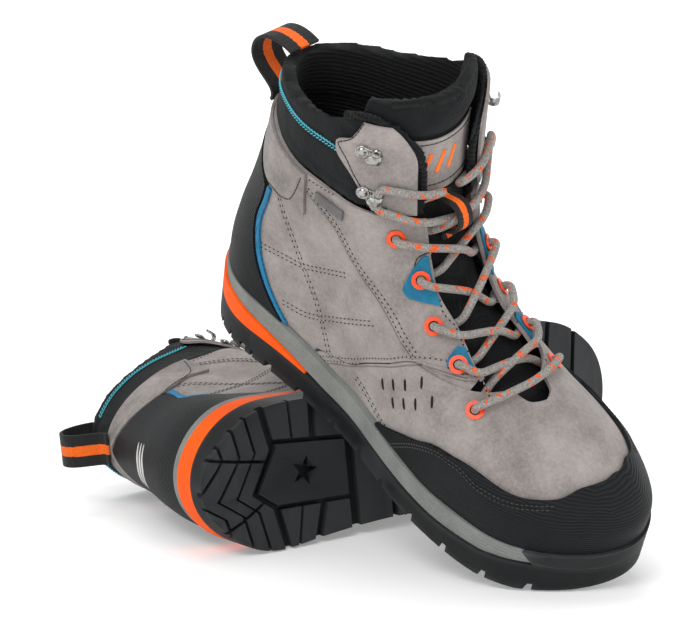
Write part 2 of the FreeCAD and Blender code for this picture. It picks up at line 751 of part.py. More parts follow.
def strap(label, path, thick, width):
    """Bent flat strap: side outline grown from a middle line, padded across its width."""
    count = 6 * (len(path) - 1)
    c = Part.BSplineCurve()
    c.interpolate([Vec(a, b, 0) for a, b in path])
    first, last = c.FirstParameter, c.LastParameter
    outer, inner = [], []
    for i in range(count + 1):
        w = first + (last - first) * i / count
        p, d = c.value(w), c.tangent(w)[0]
        n = Vec(-d.y, d.x, 0) * (thick / 2.0)
        outer.append(p + n)
        inner.append(p - n)
    a, b = Part.BSplineCurve(), Part.BSplineCurve()
    a.interpolate(outer)
    b.interpolate(inner)
    ends = [Part.LineSegment(outer[0], inner[0]), Part.LineSegment(outer[-1], inner[-1])]
    return sketch_body(label, "XZ_Plane", [a, b] + ends, width, True)


kt = size("keeper_thick")
foot = tongue_out + size("tongue_bulge") + 0.5 + kt / 2.0
master("lace_keeper", strap("lace_keeper", [ridge(136.0, foot), ridge(139.5, foot + 0.2), ridge(141.8, 3.0),
                                            ridge(145.0, 6.6), ridge(152.0, 6.9), ridge(156.0, 3.4),
                                            ridge(158.5, foot + 0.2), ridge(160.0, foot)],
                            kt, "keeper_width"))

wt = size("web_thick")
loop_foot = GAP + panel + 0.5 + wt / 2.0


def rear(z, off):
    p = at(0.0, z, off)
    return (p.x, p.z)


master("pull_loop", strap("pull_loop", [rear(144.0, loop_foot), rear(149.5, loop_foot + 0.4), (4.5, 156.0),
                                        (-4.0, 164.0), (-2.5, 174.0), (6.0, 180.8), (16.0, 182.6),
                                        (24.5, 181.4)], wt, "loop_width"))

# ---------------------------------------------------------------- side tag
tag_region = side_strip(-1, lambda z: 84.0, lambda z: 104.0, 138.0, 144.0)
master("side_tag", feature("side_tag", thick_patch(tag_region, 4, 3, GAP + trim, GAP)))

# ---------------------------------------------------------------- lace hooks
HOOKS = [(118.5, 162.5), (114.5, 186.5)]
sheet_t = size("hook_sheet")
reach = size("hook_reach")
tall = size("hook_height")
hook_outline = [(-reach - 4, 0), (reach, 0), (reach, tall), (-reach + 1.5, tall), (-reach + 1.5, tall - sheet_t),
                (reach - sheet_t, tall - sheet_t), (reach - sheet_t, sheet_t), (-reach - 4, sheet_t)]
hook_body = side_body("hook_form", hook_outline, "hook_width")
rivet_body = doc.addObject("Part::Cylinder", "rivet_form")
rivet_body.setExpression("Radius", "Sizes.rivet_radius")
rivet_body.Height = 1.0
doc.recompute()
seat_off = GAP + panel + 0.35
hooks, rivets = [], []
for side in SIDES:
    for x, z in HOOKS:
        seat = frame_at(side, x, z, seat_off)
        hooks.append(placed(hook_body.Shape, seat))
        rivets.append(placed(rivet_body.Shape, seat.multiply(FreeCAD.Placement(
            Vec(-reach - 1.6, 0, sheet_t + 0.1), FreeCAD.Rotation()))))
master("lace_hooks", feature("lace_hooks", Part.makeCompound(hooks)))
master("hook_rivets", feature("hook_rivets", Part.makeCompound(rivets)))


# ---------------------------------------------------------------- lace
def rounded_path(points):
    """Straight runs joined by tangent arcs."""
    edges = []
    start = points[0]
    for i in range(1, len(points) - 1):
        a, b, c = points[i - 1], points[i], points[i + 1]
        u, w = (a - b), (c - b)
        run = min(u.Length, w.Length)
        u.normalize()
        w.normalize()
        half = (math.pi - u.getAngle(w)) / 2.0
        if half < 0.02:
            continue
        cutback = 0.45 * run
        radius = cutback / math.tan(half)
        centre_dir = u + w
        centre_dir.normalize()
        centre = b + centre_dir * (radius / math.cos(half))
        p, q = b + u * cutback, b + w * cutback
        mid = centre - centre_dir * radius
        edges.append(Part.LineSegment(start, p).toShape())
        edges.append(Part.Arc(p, mid, q).toShape())
        start = q
    edges.append(Part.LineSegment(start, points[-1]).toShape())
    return Part.Wire(edges)


def nearest_height(p):
    """Height on the front ridge nearest to a point."""
    heights = [84.0 + 0.5 * k for k in range(240)]
    return min(heights, key=lambda z: (skin(1.0, z) - p).Length)


def lace_half(side):
    """One half of the lace, from the middle of the bottom bar to its tucked end."""
    own = side
    over, under = 4.9, -4.4
    pts = [spot(own, 210.0, 83.5, 5.2)]
    for i, (x, z) in enumerate(EYELETS):
        z_out = z + 3.0 if i else 88.5
        z_in = EYELETS[i + 1][1] - 2.0 if i + 1 < len(EYELETS) else 149.0
        leave = spot(own, FLAP(z_out) + 2.5, z_out, under)
        enter = spot(-own, FLAP(z_in) - 2.0, z_in, 4.6)
        pts.append(spot(own, x, z, eyelet_base(i) + over))
        pts.append(spot(own, x, z, under))
        pts.append(leave)
        pts.append(at(1.0, nearest_height((leave + enter) * 0.5), -1.4 if side > 0 else 3.1))
        pts.append(enter)
        own = -own
    seat = frame_at(own, HOOKS[0][0], HOOKS[0][1], seat_off)
    h = sheet_t + size("lace_radius") + 0.3
    for e1, e2 in ((1.2, -6.5), (0.4, 0.0), (1.2, 6.5)):
        pts.append(seat.multVec(Vec(e1, -own * e2, h)))
    pts.append(spot(own, FLAP(164.0) - 2.0, 165.0, 5.0))
    pts.append(spot(own, FLAP(162.0) + 3.5, 162.5, 0.6))
    pts.append(spot(own, FLAP(157.0) - 3.0, 157.0, -5.0))
    return pts


middle = at(1.0, 86.0, 3.4)
first_half = lace_half(-1)
second_half = lace_half(1)
path = rounded_path(first_half[::-1] + [middle] + second_half)
start_dir = path.Edges[0].Vertexes[1].Point - path.Edges[0].Vertexes[0].Point
circle = Part.Wire([Part.makeCircle(size("lace_radius"), path.Edges[0].Vertexes[0].Point, start_dir)])
lace_shape = path.makePipeShell([circle], True, False)
master("lace", feature("lace", lace_shape))
FreeCAD.Console.PrintMessage("lace length %.1f volume ratio %.4f\n" % (
    path.Length, lace_shape.Volume / (path.Length * math.pi * size("lace_radius") ** 2)))

# ---------------------------------------------------------------- the pair
doc.recompute()


def pose(which):
    return FreeCAD.Placement(Vec(size(which + "_x"), size(which + "_y"), size(which + "_z")),
                             FreeCAD.Rotation(size(which + "_yaw"), size(which + "_pitch"), size(which + "_roll")))


exported = []
for name, source in MASTERS.items():
    right = doc.addObject("Part::Compound", "right_" + name)
    right.Links = [source]
    right.Placement = pose("right")
    left = doc.addObject("Part::Mirroring", "left_" + name)
    left.Source = source
    left.Normal = Vec(0, 1, 0)
    left.Placement = pose("left")
    for obj, label in ((right, "right_" + name), (left, "left_" + name)):
        obj.Label = label
        exported.append(obj)

doc.recompute()
for obj in doc.Objects:
    bad = [word for word in obj.State if word in ("Invalid", "Error")]
    if bad:
        raise RuntimeError("%s: %s" % (obj.Label, bad))
for obj in exported:
    if obj.Shape.isNull() or not obj.Shape.isValid() or obj.Shape.Volume <= 0:
        raise RuntimeError("bad shape: " + obj.Label)

os.makedirs("parts", exist_ok=True)
for obj in exported:
    obj.Shape.exportStep("parts/%s.step" % obj.Label)
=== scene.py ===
"""Looks of a pair of hiking boots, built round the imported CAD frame."""
import math

import bpy
from mathutils import Euler, Matrix, Vector, noise
from mathutils.bvhtree import BVHTree


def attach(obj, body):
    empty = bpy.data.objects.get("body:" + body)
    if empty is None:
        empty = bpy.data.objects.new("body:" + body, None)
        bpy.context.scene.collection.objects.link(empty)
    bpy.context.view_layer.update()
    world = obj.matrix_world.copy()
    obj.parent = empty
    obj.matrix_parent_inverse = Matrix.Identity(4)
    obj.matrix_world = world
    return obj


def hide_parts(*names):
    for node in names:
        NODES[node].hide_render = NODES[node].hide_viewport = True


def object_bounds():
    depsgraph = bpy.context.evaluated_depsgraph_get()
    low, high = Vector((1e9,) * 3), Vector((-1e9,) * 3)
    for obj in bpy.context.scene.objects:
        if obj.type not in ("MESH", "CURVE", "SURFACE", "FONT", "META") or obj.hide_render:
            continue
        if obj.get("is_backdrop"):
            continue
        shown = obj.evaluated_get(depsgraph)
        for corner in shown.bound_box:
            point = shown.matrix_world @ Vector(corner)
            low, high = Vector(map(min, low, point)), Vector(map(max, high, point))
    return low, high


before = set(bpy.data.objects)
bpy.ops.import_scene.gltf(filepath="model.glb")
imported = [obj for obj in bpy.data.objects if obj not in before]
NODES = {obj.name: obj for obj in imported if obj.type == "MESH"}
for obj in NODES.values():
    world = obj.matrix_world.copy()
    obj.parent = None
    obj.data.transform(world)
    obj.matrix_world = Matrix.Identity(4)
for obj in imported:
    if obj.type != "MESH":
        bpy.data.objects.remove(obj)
cad_low, cad_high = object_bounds()
MM = 0.001
SIDES = ("right", "left")

# Where each boot stands: x, y, z in millimetres, then yaw, pitch and roll in degrees.
POSES = {
    "right": (-67.283, 71.956, 142.55, -75.228, 29.5569, 21.06),
    "left": (-142.679, -9.697, 38.135, 0.0, -4.8747, -90.6641),
}
MIRROR = {"right": 1.0, "left": -1.0}


def boot_turn(side):
    yaw, pitch, roll = POSES[side][3:]
    return Euler((math.radians(roll), math.radians(pitch), math.radians(yaw)), "XYZ")


def boot_matrix(side):
    """From a boot's own millimetres (x heel to toe, y to the inner side, z up) to the row frame."""
    place = Matrix.Translation(Vector(POSES[side][:3]) * MM) @ boot_turn(side).to_matrix().to_4x4()
    return place @ Matrix.Diagonal((MM, MM * MIRROR[side], MM, 1.0))


TO_ROW = {side: boot_matrix(side) for side in SIDES}
TO_BOOT = {side: TO_ROW[side].inverted() for side in SIDES}


# ------------------------------------------------------------------ node helpers
class Shade:
    """One node material, its pattern laid out in a boot's own millimetres or, with no side, in the row's."""

    def __init__(self, name, side=None, **shader):
        self.mat = bpy.data.materials.new(name)
        self.mat.use_nodes = True
        self.tree = self.mat.node_tree
        self.bsdf = self.tree.nodes["Principled BSDF"]
        for key, value in shader.items():
            self.bsdf.inputs[key.replace("_", " ")].default_value = value
        coords = self.tree.nodes.new("ShaderNodeTexCoord").outputs["Object"]
        mapping = self.tree.nodes.new("ShaderNodeMapping")
        if side:
            mapping.vector_type = "TEXTURE"
            mapping.inputs["Location"].default_value = Vector(POSES[side][:3]) * MM
            mapping.inputs["Rotation"].default_value = boot_turn(side)
            mapping.inputs["Scale"].default_value = (MM, MM * MIRROR[side], MM)
        else:
            mapping.inputs["Scale"].default_value = (1.0 / MM, 1.0 / MM, 1.0 / MM)
        self.tree.links.new(coords, mapping.inputs["Vector"])
        self.p = mapping.outputs["Vector"]
        self.height = None

    def link(self, source, socket):
        if isinstance(source, (int, float)):
            socket.default_value = source
        elif isinstance(source, tuple):
            socket.default_value = source if len(source) == 4 or socket.type == "VECTOR" else (*source, 1.0)
        else:
            self.tree.links.new(source, socket)

    def math(self, op, a, b=0.0, c=None):
        n = self.tree.nodes.new("ShaderNodeMath")
        n.operation = op
        self.link(a, n.inputs[0])
        self.link(b, n.inputs[1])
        if c is not None:
            self.link(c, n.inputs[2])
        return n.outputs[0]

    def blend(self, *parts):
        """Sum of (value, weight) pairs."""
        total = None
        for value, weight in parts:
            share = self.math("MULTIPLY", value, weight)
            total = share if total is None else self.math("ADD", total, share)
        return total

    def axis(self, i, p=None):
        n = self.tree.nodes.new("ShaderNodeSeparateXYZ")
        self.link(p or self.p, n.inputs[0])
        return n.outputs[i]

    def length(self):
        """Distance from the origin."""
        n = self.tree.nodes.new("ShaderNodeVectorMath")
        n.operation = "LENGTH"
        self.link(self.p, n.inputs[0])
        return n.outputs["Value"]

    def noise(self, scale, detail=3.0, rough=0.55):
        n = self.tree.nodes.new("ShaderNodeTexNoise")
        self.link(self.p, n.inputs["Vector"])
        n.inputs["Scale"].default_value = scale
        n.inputs["Detail"].default_value = detail
        n.inputs["Roughness"].default_value = rough
        return n.outputs["Fac"]

    def cells(self, scale, output="Distance", randomness=1.0):
        n = self.tree.nodes.new("ShaderNodeTexVoronoi")
        self.link(self.p, n.inputs["Vector"])
        n.inputs["Scale"].default_value = scale
        n.inputs["Randomness"].default_value = randomness
        return n.outputs[output]

    def ribs(self, value, pitch, sharp=1.0):
        """Rounded ribs, 0 to 1, along a running length in millimetres."""
        wave = self.math("SINE", self.math("MULTIPLY", value, 2.0 * math.pi / pitch))
        half = self.math("MULTIPLY_ADD", wave, 0.5, 0.5)
        return self.math("POWER", half, sharp)

    def ramp(self, value, stops):
        n = self.tree.nodes.new("ShaderNodeValToRGB")
        self.link(value, n.inputs["Fac"])
        ramp = n.color_ramp
        while len(ramp.elements) < len(stops):
            ramp.elements.new(0.5)
        for element, (at, colour) in zip(ramp.elements, stops):
            element.position = at
            element.color = (*colour, 1.0)
        return n.outputs["Color"]

    def mix(self, factor, a, b):
        n = self.tree.nodes.new("ShaderNodeMix")
        n.data_type = "RGBA"
        self.link(factor, n.inputs["Factor"])
        self.link(a, n.inputs["A"])
        self.link(b, n.inputs["B"])
        return n.outputs["Result"]

    def colour(self, value):
        self.link(value, self.bsdf.inputs["Base Color"])
        return self

    def rough(self, value):
        self.link(value, self.bsdf.inputs["Roughness"])
        return self

    def bump(self, value, depth_mm):
        """Adds a bump layer whose full height is depth_mm."""
        n = self.tree.nodes.new("ShaderNodeBump")
        n.inputs["Strength"].default_value = 1.0
        n.inputs["Distance"].default_value = depth_mm * MM
        self.link(value, n.inputs["Height"])
        if self.height is not None:
            self.tree.links.new(self.height, n.inputs["Normal"])
        self.height = n.outputs["Normal"]
        self.link(self.height, self.bsdf.inputs["Normal"])
        return self


def lighter_edges(s, colour, edge_colour):
    """Lightens convex edges, found by their pointiness."""
    geometry = s.tree.nodes.new("ShaderNodeNewGeometry")
    pointy = geometry.outputs["Pointiness"]
    mask = s.ramp(pointy, [(0.51, (0, 0, 0)), (0.60, (1, 1, 1))])
    return s.mix(mask, colour, edge_colour)


# ------------------------------------------------------------------ materials
DEEP_BLACK = (0.004, 0.0045, 0.005)
CLOTH_BLACK = (0.013, 0.014, 0.015)


def suede(side, light, dark, coarse=1.0, name="suede"):
    """Brushed leather: clouds of tone, nap and short fibres, all longer with coarse."""
    s = Shade(f"{name}_{side}", side, Roughness=0.93, Sheen_Weight=0.12, Sheen_Roughness=0.5,
              Specular_IOR_Level=0.25)
    cloud = s.noise(0.045, 5.0, 0.6)
    nap = s.noise(0.55 / coarse, 6.0, 0.72)
    fibre = s.noise(2.6 / coarse, 3.0, 0.8)
    tone = s.blend((cloud, 0.50), (nap, 0.36), (fibre, 0.18))
    s.colour(s.ramp(tone, [(0.38, dark), (0.66, light)]))
    s.bump(s.noise(0.22, 3.0, 0.5), 0.35 * coarse)
    s.bump(s.noise(1.7 / coarse, 5.0, 0.75), 0.30 * coarse)
    return s.mat


def ribbed_rubber(side):
    """Moulded rubber whose fine level ribs waver a little."""
    s = Shade(f"rand_{side}", side, Roughness=0.6, Specular_IOR_Level=0.13)
    wobble = s.math("MULTIPLY", s.noise(0.05, 2.0), 5.0)
    lines = s.ribs(s.math("ADD", s.axis(2), wobble), 1.5)
    grain = s.noise(1.4, 3.0, 0.7)
    tone = s.blend((lines, 0.5), (grain, 0.5))
    s.colour(s.ramp(tone, [(0.25, DEEP_BLACK), (0.8, (0.013, 0.0145, 0.016))]))
    s.rough(s.math("MULTIPLY_ADD", grain, 0.25, 0.42))
    s.bump(lines, 0.22)
    s.bump(grain, 0.12)
    return s.mat


def rubber(side, name, low, high):
    """Grained rubber, lighter on its convex edges."""
    s = Shade(f"{name}_{side}", side, Roughness=0.6, Specular_IOR_Level=0.16)
    cloud = s.noise(0.06, 4.0, 0.6)
    grain = s.noise(1.1, 4.0, 0.75)
    base = s.ramp(s.blend((cloud, 0.6), (grain, 0.4)), [(0.3, low), (0.7, high)])
    edge_colour = tuple(1.8 * c + 0.006 for c in high)
    s.colour(lighter_edges(s, base, edge_colour))
    s.rough(s.math("MULTIPLY_ADD", grain, 0.22, 0.48))
    s.bump(grain, 0.12)
    return s.mat


def foam(side, name, low, high, lines):
    """Closed foam or a printed film, speckled; lines is the pitch of its moulded lines, or 0 for none."""
    s = Shade(f"{name}_{side}", side, Roughness=0.72, Specular_IOR_Level=0.2)
    cloud = s.noise(0.05, 3.0, 0.6)
    speck = s.cells(1.3)
    s.colour(s.ramp(s.blend((cloud, 0.7), (speck, 0.3)), [(0.3, low), (0.65, high)]))
    s.bump(speck, 0.10)
    if lines:
        s.bump(s.ribs(s.axis(2), lines, 2.0), 0.18)
    return s.mat


def knit(side, name, low, high, rib_axis, pitch, depth=0.7):
    """Ribbed knit: round ribs of small loops, one rib after another along rib_axis."""
    s = Shade(f"{name}_{side}", side, Roughness=0.9, Sheen_Weight=0.04, Sheen_Roughness=0.4,
              Specular_IOR_Level=0.2)
    run = s.axis(rib_axis)
    rib = s.ribs(run, pitch)
    across = s.math("ADD", s.axis(0), s.axis(1)) if rib_axis == 2 else s.axis(2)
    loop = s.ribs(s.math("ADD", across, s.math("MULTIPLY", rib, 0.6)), 0.95)
    fuzz = s.noise(1.6, 4.0, 0.7)
    s.colour(s.ramp(s.blend((rib, 0.45), (loop, 0.25), (fuzz, 0.3)), [(0.2, low), (0.85, high)]))
    s.bump(rib, depth)
    s.bump(loop, 0.22)
    return s.mat


def fine_cloth(side, name, low, high):
    """Close-woven face cloth on foam."""
    s = Shade(f"{name}_{side}", side, Roughness=0.8, Sheen_Weight=0.03, Sheen_Roughness=0.4,
              Specular_IOR_Level=0.13)
    a = s.ribs(s.math("ADD", s.axis(0), s.axis(2)), 0.9)
    b = s.ribs(s.math("SUBTRACT", s.axis(2), s.axis(0)), 0.9)
    weave = s.math("MAXIMUM", a, b)
    cloud = s.noise(0.09, 4.0, 0.6)
    s.colour(s.ramp(s.blend((weave, 0.35), (cloud, 0.65)), [(0.3, low), (0.75, high)]))
    s.bump(weave, 0.16)
    s.bump(s.noise(0.13, 3.0, 0.6), 0.9)
    return s.mat


def webbing(side, name, stripe):
    """Black ribbon with one raised coloured stripe down its middle, stripe millimetres wide."""
    s = Shade(f"{name}_{side}", side, Roughness=0.75, Sheen_Weight=0.05, Specular_IOR_Level=0.25)
    y = s.math("ABSOLUTE", s.axis(1))
    along = s.math("ADD", s.axis(2), s.math("MULTIPLY", s.axis(0), 0.6))
    cord_rows = s.ribs(s.axis(1), 1.25)
    picks = s.ribs(s.math("ADD", along, s.math("MULTIPLY", cord_rows, 0.5)), 1.6)
    band = s.math("LESS_THAN", s.math("ADD", y, s.math("MULTIPLY", picks, 0.35)), stripe / 2.0)
    fuzz = s.noise(1.5, 3.0, 0.7)
    orange = s.ramp(fuzz, [(0.3, (0.55, 0.075, 0.003)), (0.7, (0.92, 0.16, 0.008))])
    black = s.ramp(fuzz, [(0.3, (0.005, 0.005, 0.0055)), (0.7, (0.016, 0.016, 0.017))])
    s.colour(s.mix(band, black, orange))
    s.bump(s.math("MULTIPLY", cord_rows, picks), 0.28)
    return s.mat


def mesh_cloth(side):
    s = Shade(f"mesh_{side}", side, Roughness=0.7, Sheen_Weight=0.05, Specular_IOR_Level=0.3)
    holes = s.cells(0.75, randomness=0.25)
    s.colour(s.ramp(holes, [(0.15, (0.001, 0.018, 0.04)), (0.5, (0.004, 0.17, 0.34))]))
    s.bump(holes, 0.35)
    return s.mat


def dyed_leather(side):
    s = Shade(f"blue_leather_{side}", side, Roughness=0.6, Specular_IOR_Level=0.3)
    grain = s.cells(1.0)
    cloud = s.noise(0.12, 4.0, 0.6)
    s.colour(s.ramp(cloud, [(0.3, (0.001, 0.10, 0.19)), (0.7, (0.003, 0.16, 0.28))]))
    s.bump(grain, 0.15)
    return s.mat


def metal(side, name, low, high, roughness, metallic):
    s = Shade(f"{name}_{side}", side, Metallic=metallic, Roughness=roughness)
    haze = s.noise(0.5, 4.0, 0.6)
    s.colour(s.ramp(haze, [(0.35, low), (0.65, high)]))
    s.rough(s.math("MULTIPLY_ADD", haze, 0.16, roughness - 0.06))
    s.bump(s.noise(0.9, 2.0), 0.05)
    return s.mat


def braid(side):
    """Round braided lace, with coloured flecks where a marker yarn surfaces, and painted shade between its
    strands.
    """
    s = Shade(f"lace_{side}", side, Roughness=0.85, Sheen_Weight=0.1, Specular_IOR_Level=0.25)
    strand = s.cells(1.05)
    tint = s.cells(0.42, output="Color")
    pick = s.math("GREATER_THAN", s.axis(0, tint), 0.86)
    # noise, darkened away from the middle of each strand: painted shade between the strands
    fuzz = s.math("SUBTRACT", s.math("ADD", s.noise(1.4, 3.0, 0.7), 0.22), s.math("MULTIPLY", strand, 0.5))
    grey = s.ramp(fuzz, [(0.3, (0.17, 0.16, 0.148)), (0.7, (0.34, 0.32, 0.295))])
    orange = s.ramp(fuzz, [(0.3, (0.50, 0.07, 0.02)), (0.7, (0.80, 0.15, 0.04))])
    s.colour(s.mix(pick, grey, orange))
    s.bump(strand, 0.45)
    return s.mat


def thread(side, name, low, high):
    s = Shade(f"{name}_{side}", side, Roughness=0.7, Sheen_Weight=0.2)
    ply = s.ribs(s.math("ADD", s.axis(0), s.math("ADD", s.axis(2), s.axis(1))), 0.5)
    s.colour(s.ramp(s.blend((ply, 0.5), (s.noise(0.3), 0.5)), [(0.3, low), (0.7, high)]))
    s.bump(ply, 0.1)
    return s.mat


MATS = {}
for side in SIDES:
    MATS[side] = {
        "suede": suede(side, (0.355, 0.317, 0.298), (0.165, 0.147, 0.138)),
        "suede_rough": suede(side, (0.33, 0.295, 0.277), (0.13, 0.116, 0.108), 1.8, "heel_suede"),
        "rand": ribbed_rubber(side),
        "outsole": rubber(side, "outsole_rubber", DEEP_BLACK, (0.012, 0.013, 0.014)),
        "bumper": rubber(side, "bumper_rubber", (0.010, 0.0105, 0.011), (0.024, 0.025, 0.026)),
        "eva": foam(side, "midsole_foam", (0.150, 0.157, 0.148), (0.225, 0.235, 0.221), 2.4),
        "wedge": foam(side, "wedge_foam", (0.78, 0.078, 0.001), (0.92, 0.108, 0.002), 0.0),
        "mesh": mesh_cloth(side),
        "blue": dyed_leather(side),
        "eyelet": metal(side, "eyelet_lacquer", (0.74, 0.050, 0.004), (0.88, 0.080, 0.007), 0.4, 0.0),
        "nickel": metal(side, "nickel", (0.20, 0.195, 0.185), (0.46, 0.45, 0.43), 0.24, 1.0),
        "steel": metal(side, "spring_steel", (0.3, 0.3, 0.3), (0.5, 0.5, 0.5), 0.4, 1.0),
        "collar": fine_cloth(side, "collar_cloth", DEEP_BLACK, CLOTH_BLACK),
        "lining": knit(side, "lining_knit", DEEP_BLACK, (0.018, 0.0185, 0.019), 2, 2.6),
        "tongue": fine_cloth(side, "tongue_cloth", DEEP_BLACK, CLOTH_BLACK),
        "web": webbing(side, "loop_webbing", 6.4),
        "keeper": webbing(side, "keeper_webbing", 4.0),
        "lace": braid(side),
        "tag": foam(side, "tag_rubber", (0.10, 0.095, 0.092), (0.17, 0.162, 0.157), 1.1),
        "felt": knit(side, "footbed_felt", (0.02, 0.02, 0.023), (0.07, 0.07, 0.075), 0, 3.0, 0.3),
        "board": suede(side, (0.45, 0.36, 0.24), (0.32, 0.25, 0.16), 0.6, "fibre_board"),
        "stitch": thread(side, "stitch_grey", (0.20, 0.182, 0.17), (0.42, 0.385, 0.36)),
        "stitch_dark": thread(side, "stitch_dark", (0.008, 0.008, 0.009), (0.030, 0.030, 0.032)),
        "stitch_cyan": thread(side, "stitch_cyan", (0.02, 0.40, 0.52), (0.06, 0.62, 0.74)),
        # darker suede for the strip along each seam line: painted shadow of the panel's edge
        "seam_edge_shadow": suede(side, (0.20, 0.18, 0.165), (0.10, 0.09, 0.082), 0.8, "painted_seam_shadow"),
        "reflect": foam(side, "reflective_print", (0.40, 0.40, 0.39), (0.60, 0.60, 0.58), 0.0),
        "print": foam(side, "orange_print", (0.75, 0.13, 0.02), (0.90, 0.20, 0.03), 0.0),
        "slot": rubber(side, "slot_dark", (0.004, 0.004, 0.004), (0.012, 0.011, 0.010)),
    }

NODE_MATS = {
    "heel_wedge": "wedge", "shank": "steel", "midsole": "eva", "toe_bumper": "bumper",
    "insole_board": "board", "footbed": "felt", "outsole": "outsole",
    "quarter": "suede", "vamp": "suede", "toe_rand": "rand", "heel_cap": "rand", "heel_piping": "mesh",
    "heel_band": "suede_rough", "eyelet_patches": "blue", "eyelets": "eyelet", "collar": "collar",
    "hook_panels": "suede", "heel_counter": "board", "toe_puff": "board",
    "lining": "lining", "vamp_lining": "lining", "tongue": "tongue", "tongue_patch": "suede",
    "lace_keeper": "keeper", "pull_loop": "web", "side_tag": "tag",
    "lace_hooks": "nickel", "hook_rivets": "nickel", "lace": "lace",
}
for side in SIDES:
    for node, key in NODE_MATS.items():
        mesh = NODES[f"{side}_{node}"].data
        mesh.materials.clear()
        mesh.materials.append(MATS[side][key])

# ------------------------------------------------------------------ measuring on the frame
# where lines of sight start, in millimetres, all clear of the boot
BESIDE, BEYOND, ABOVE = 120.0, 200.0, 240.0


class Skin:
    """Outer surface of some CAD nodes of one boot, in that boot's own millimetres.

    Each line of sight gives the point that it meets and the normal there, or None."""

    def __init__(self, side, *nodes):
        verts, faces = [], []
        for node in nodes:
            mesh = NODES[f"{side}_{node}"].data
            base = len(verts)
            verts += [TO_BOOT[side] @ v.co for v in mesh.vertices]
            faces += [[base + i for i in p.vertices] for p in mesh.polygons]
        self.tree = BVHTree.FromPolygons(verts, faces)

    def cast(self, start, toward):
        direction = (toward - start).normalized()
        point, normal, _, _ = self.tree.ray_cast(start, direction)
        if point is None:
            return None
        return point, -normal if normal.dot(direction) > 0 else normal

    def side_on(self, x, z, way):
        """Straight in from the outer (-1) or inner (1) side of the foot."""
        return self.cast(Vector((x, way * BESIDE, z)), Vector((x, 0.0, z)))

    def around(self, angle, z, centre):
        """Level, in to a centre on the boot's middle plane; angle 0 is straight ahead."""
        out = Vector((math.cos(angle), math.sin(angle), 0.0))
        middle = Vector((centre, 0.0, z))
        return self.cast(middle + out * BEYOND, middle)

    def head_on(self, y, z):
        """Straight back from in front of the tongue."""
        return self.cast(Vector((BEYOND, y, z)), Vector((BEYOND / 2.0, y, z)))

    def from_above(self, x, y):
        return self.cast(Vector((x, y, ABOVE)), Vector((x, y, 0.0)))


def found(hits):
    return [hit for hit in hits if hit]


def spread(first, last, count):
    """Evenly spaced values, both ends included."""
    return [first + (last - first) * k / (count - 1) for k in range(count)]


def smooth_line(points, step=0.7):
    """Closely spaced points on a curve through the given (x, z) points."""
    pts = [Vector((x, z, 0.0)) for x, z in points]
    ends = [pts[0] * 2 - pts[1]] + pts + [pts[-1] * 2 - pts[-2]]
    out = []
    for a, b, c, d in zip(ends, ends[1:], ends[2:], ends[3:]):
        count = max(2, int((c - b).length / step))
        for i in range(count):
            t = i / count
            out.append(0.5 * (2 * b + (c - a) * t + (2 * a - 5 * b + 4 * c - d) * t * t
                              + (3 * b - a - 3 * c + d) * t ** 3))
    return out + [pts[-1]]


def shifted(line, off):
    """The same plane curve moved sideways."""
    out = []
    for i, p in enumerate(line):
        d = line[min(i + 1, len(line) - 1)] - line[max(i - 1, 0)]
        d.normalize()
        out.append(p + Vector((-d.y, d.x, 0.0)) * off)
    return out


def on_side(skin, line, way):
    """Surface points on one side of the foot, under a plane curve of (x, z)."""
    return found(skin.side_on(p.x, p.y, way) for p in line)


def beside(skin, outline, off, way):
    """Surface points that run along an outline, off millimetres to its left."""
    return on_side(skin, shifted(smooth_line(outline), off), way)


# ------------------------------------------------------------------ making pieces
def new_piece(name, side, verts, faces, mat, body):
    """A mesh piece given in the boot's own millimetres, riding on a body."""
    mesh = bpy.data.meshes.new(name)
    mesh.from_pydata([TO_ROW[side] @ Vector(v) for v in verts], [], faces)
    if side == "left":
        mesh.flip_normals()
    mesh.materials.append(mat)
    mesh.shade_smooth()
    piece = bpy.data.objects.new(name, mesh)
    bpy.context.scene.collection.objects.link(piece)
    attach(piece, body)
    return piece


def ring_faces(base, rings, sides):
    """Quads between rings of points that follow one another, and a cap on each end."""
    faces = []
    for i in range(rings - 1):
        for k in range(sides):
            a, b = base + i * sides + k, base + i * sides + (k + 1) % sides
            faces.append((a, b, b + sides, a + sides))
    last = base + (rings - 1) * sides
    faces.append(tuple(base + k for k in range(sides - 1, -1, -1)))
    faces.append(tuple(last + k for k in range(sides)))
    return faces


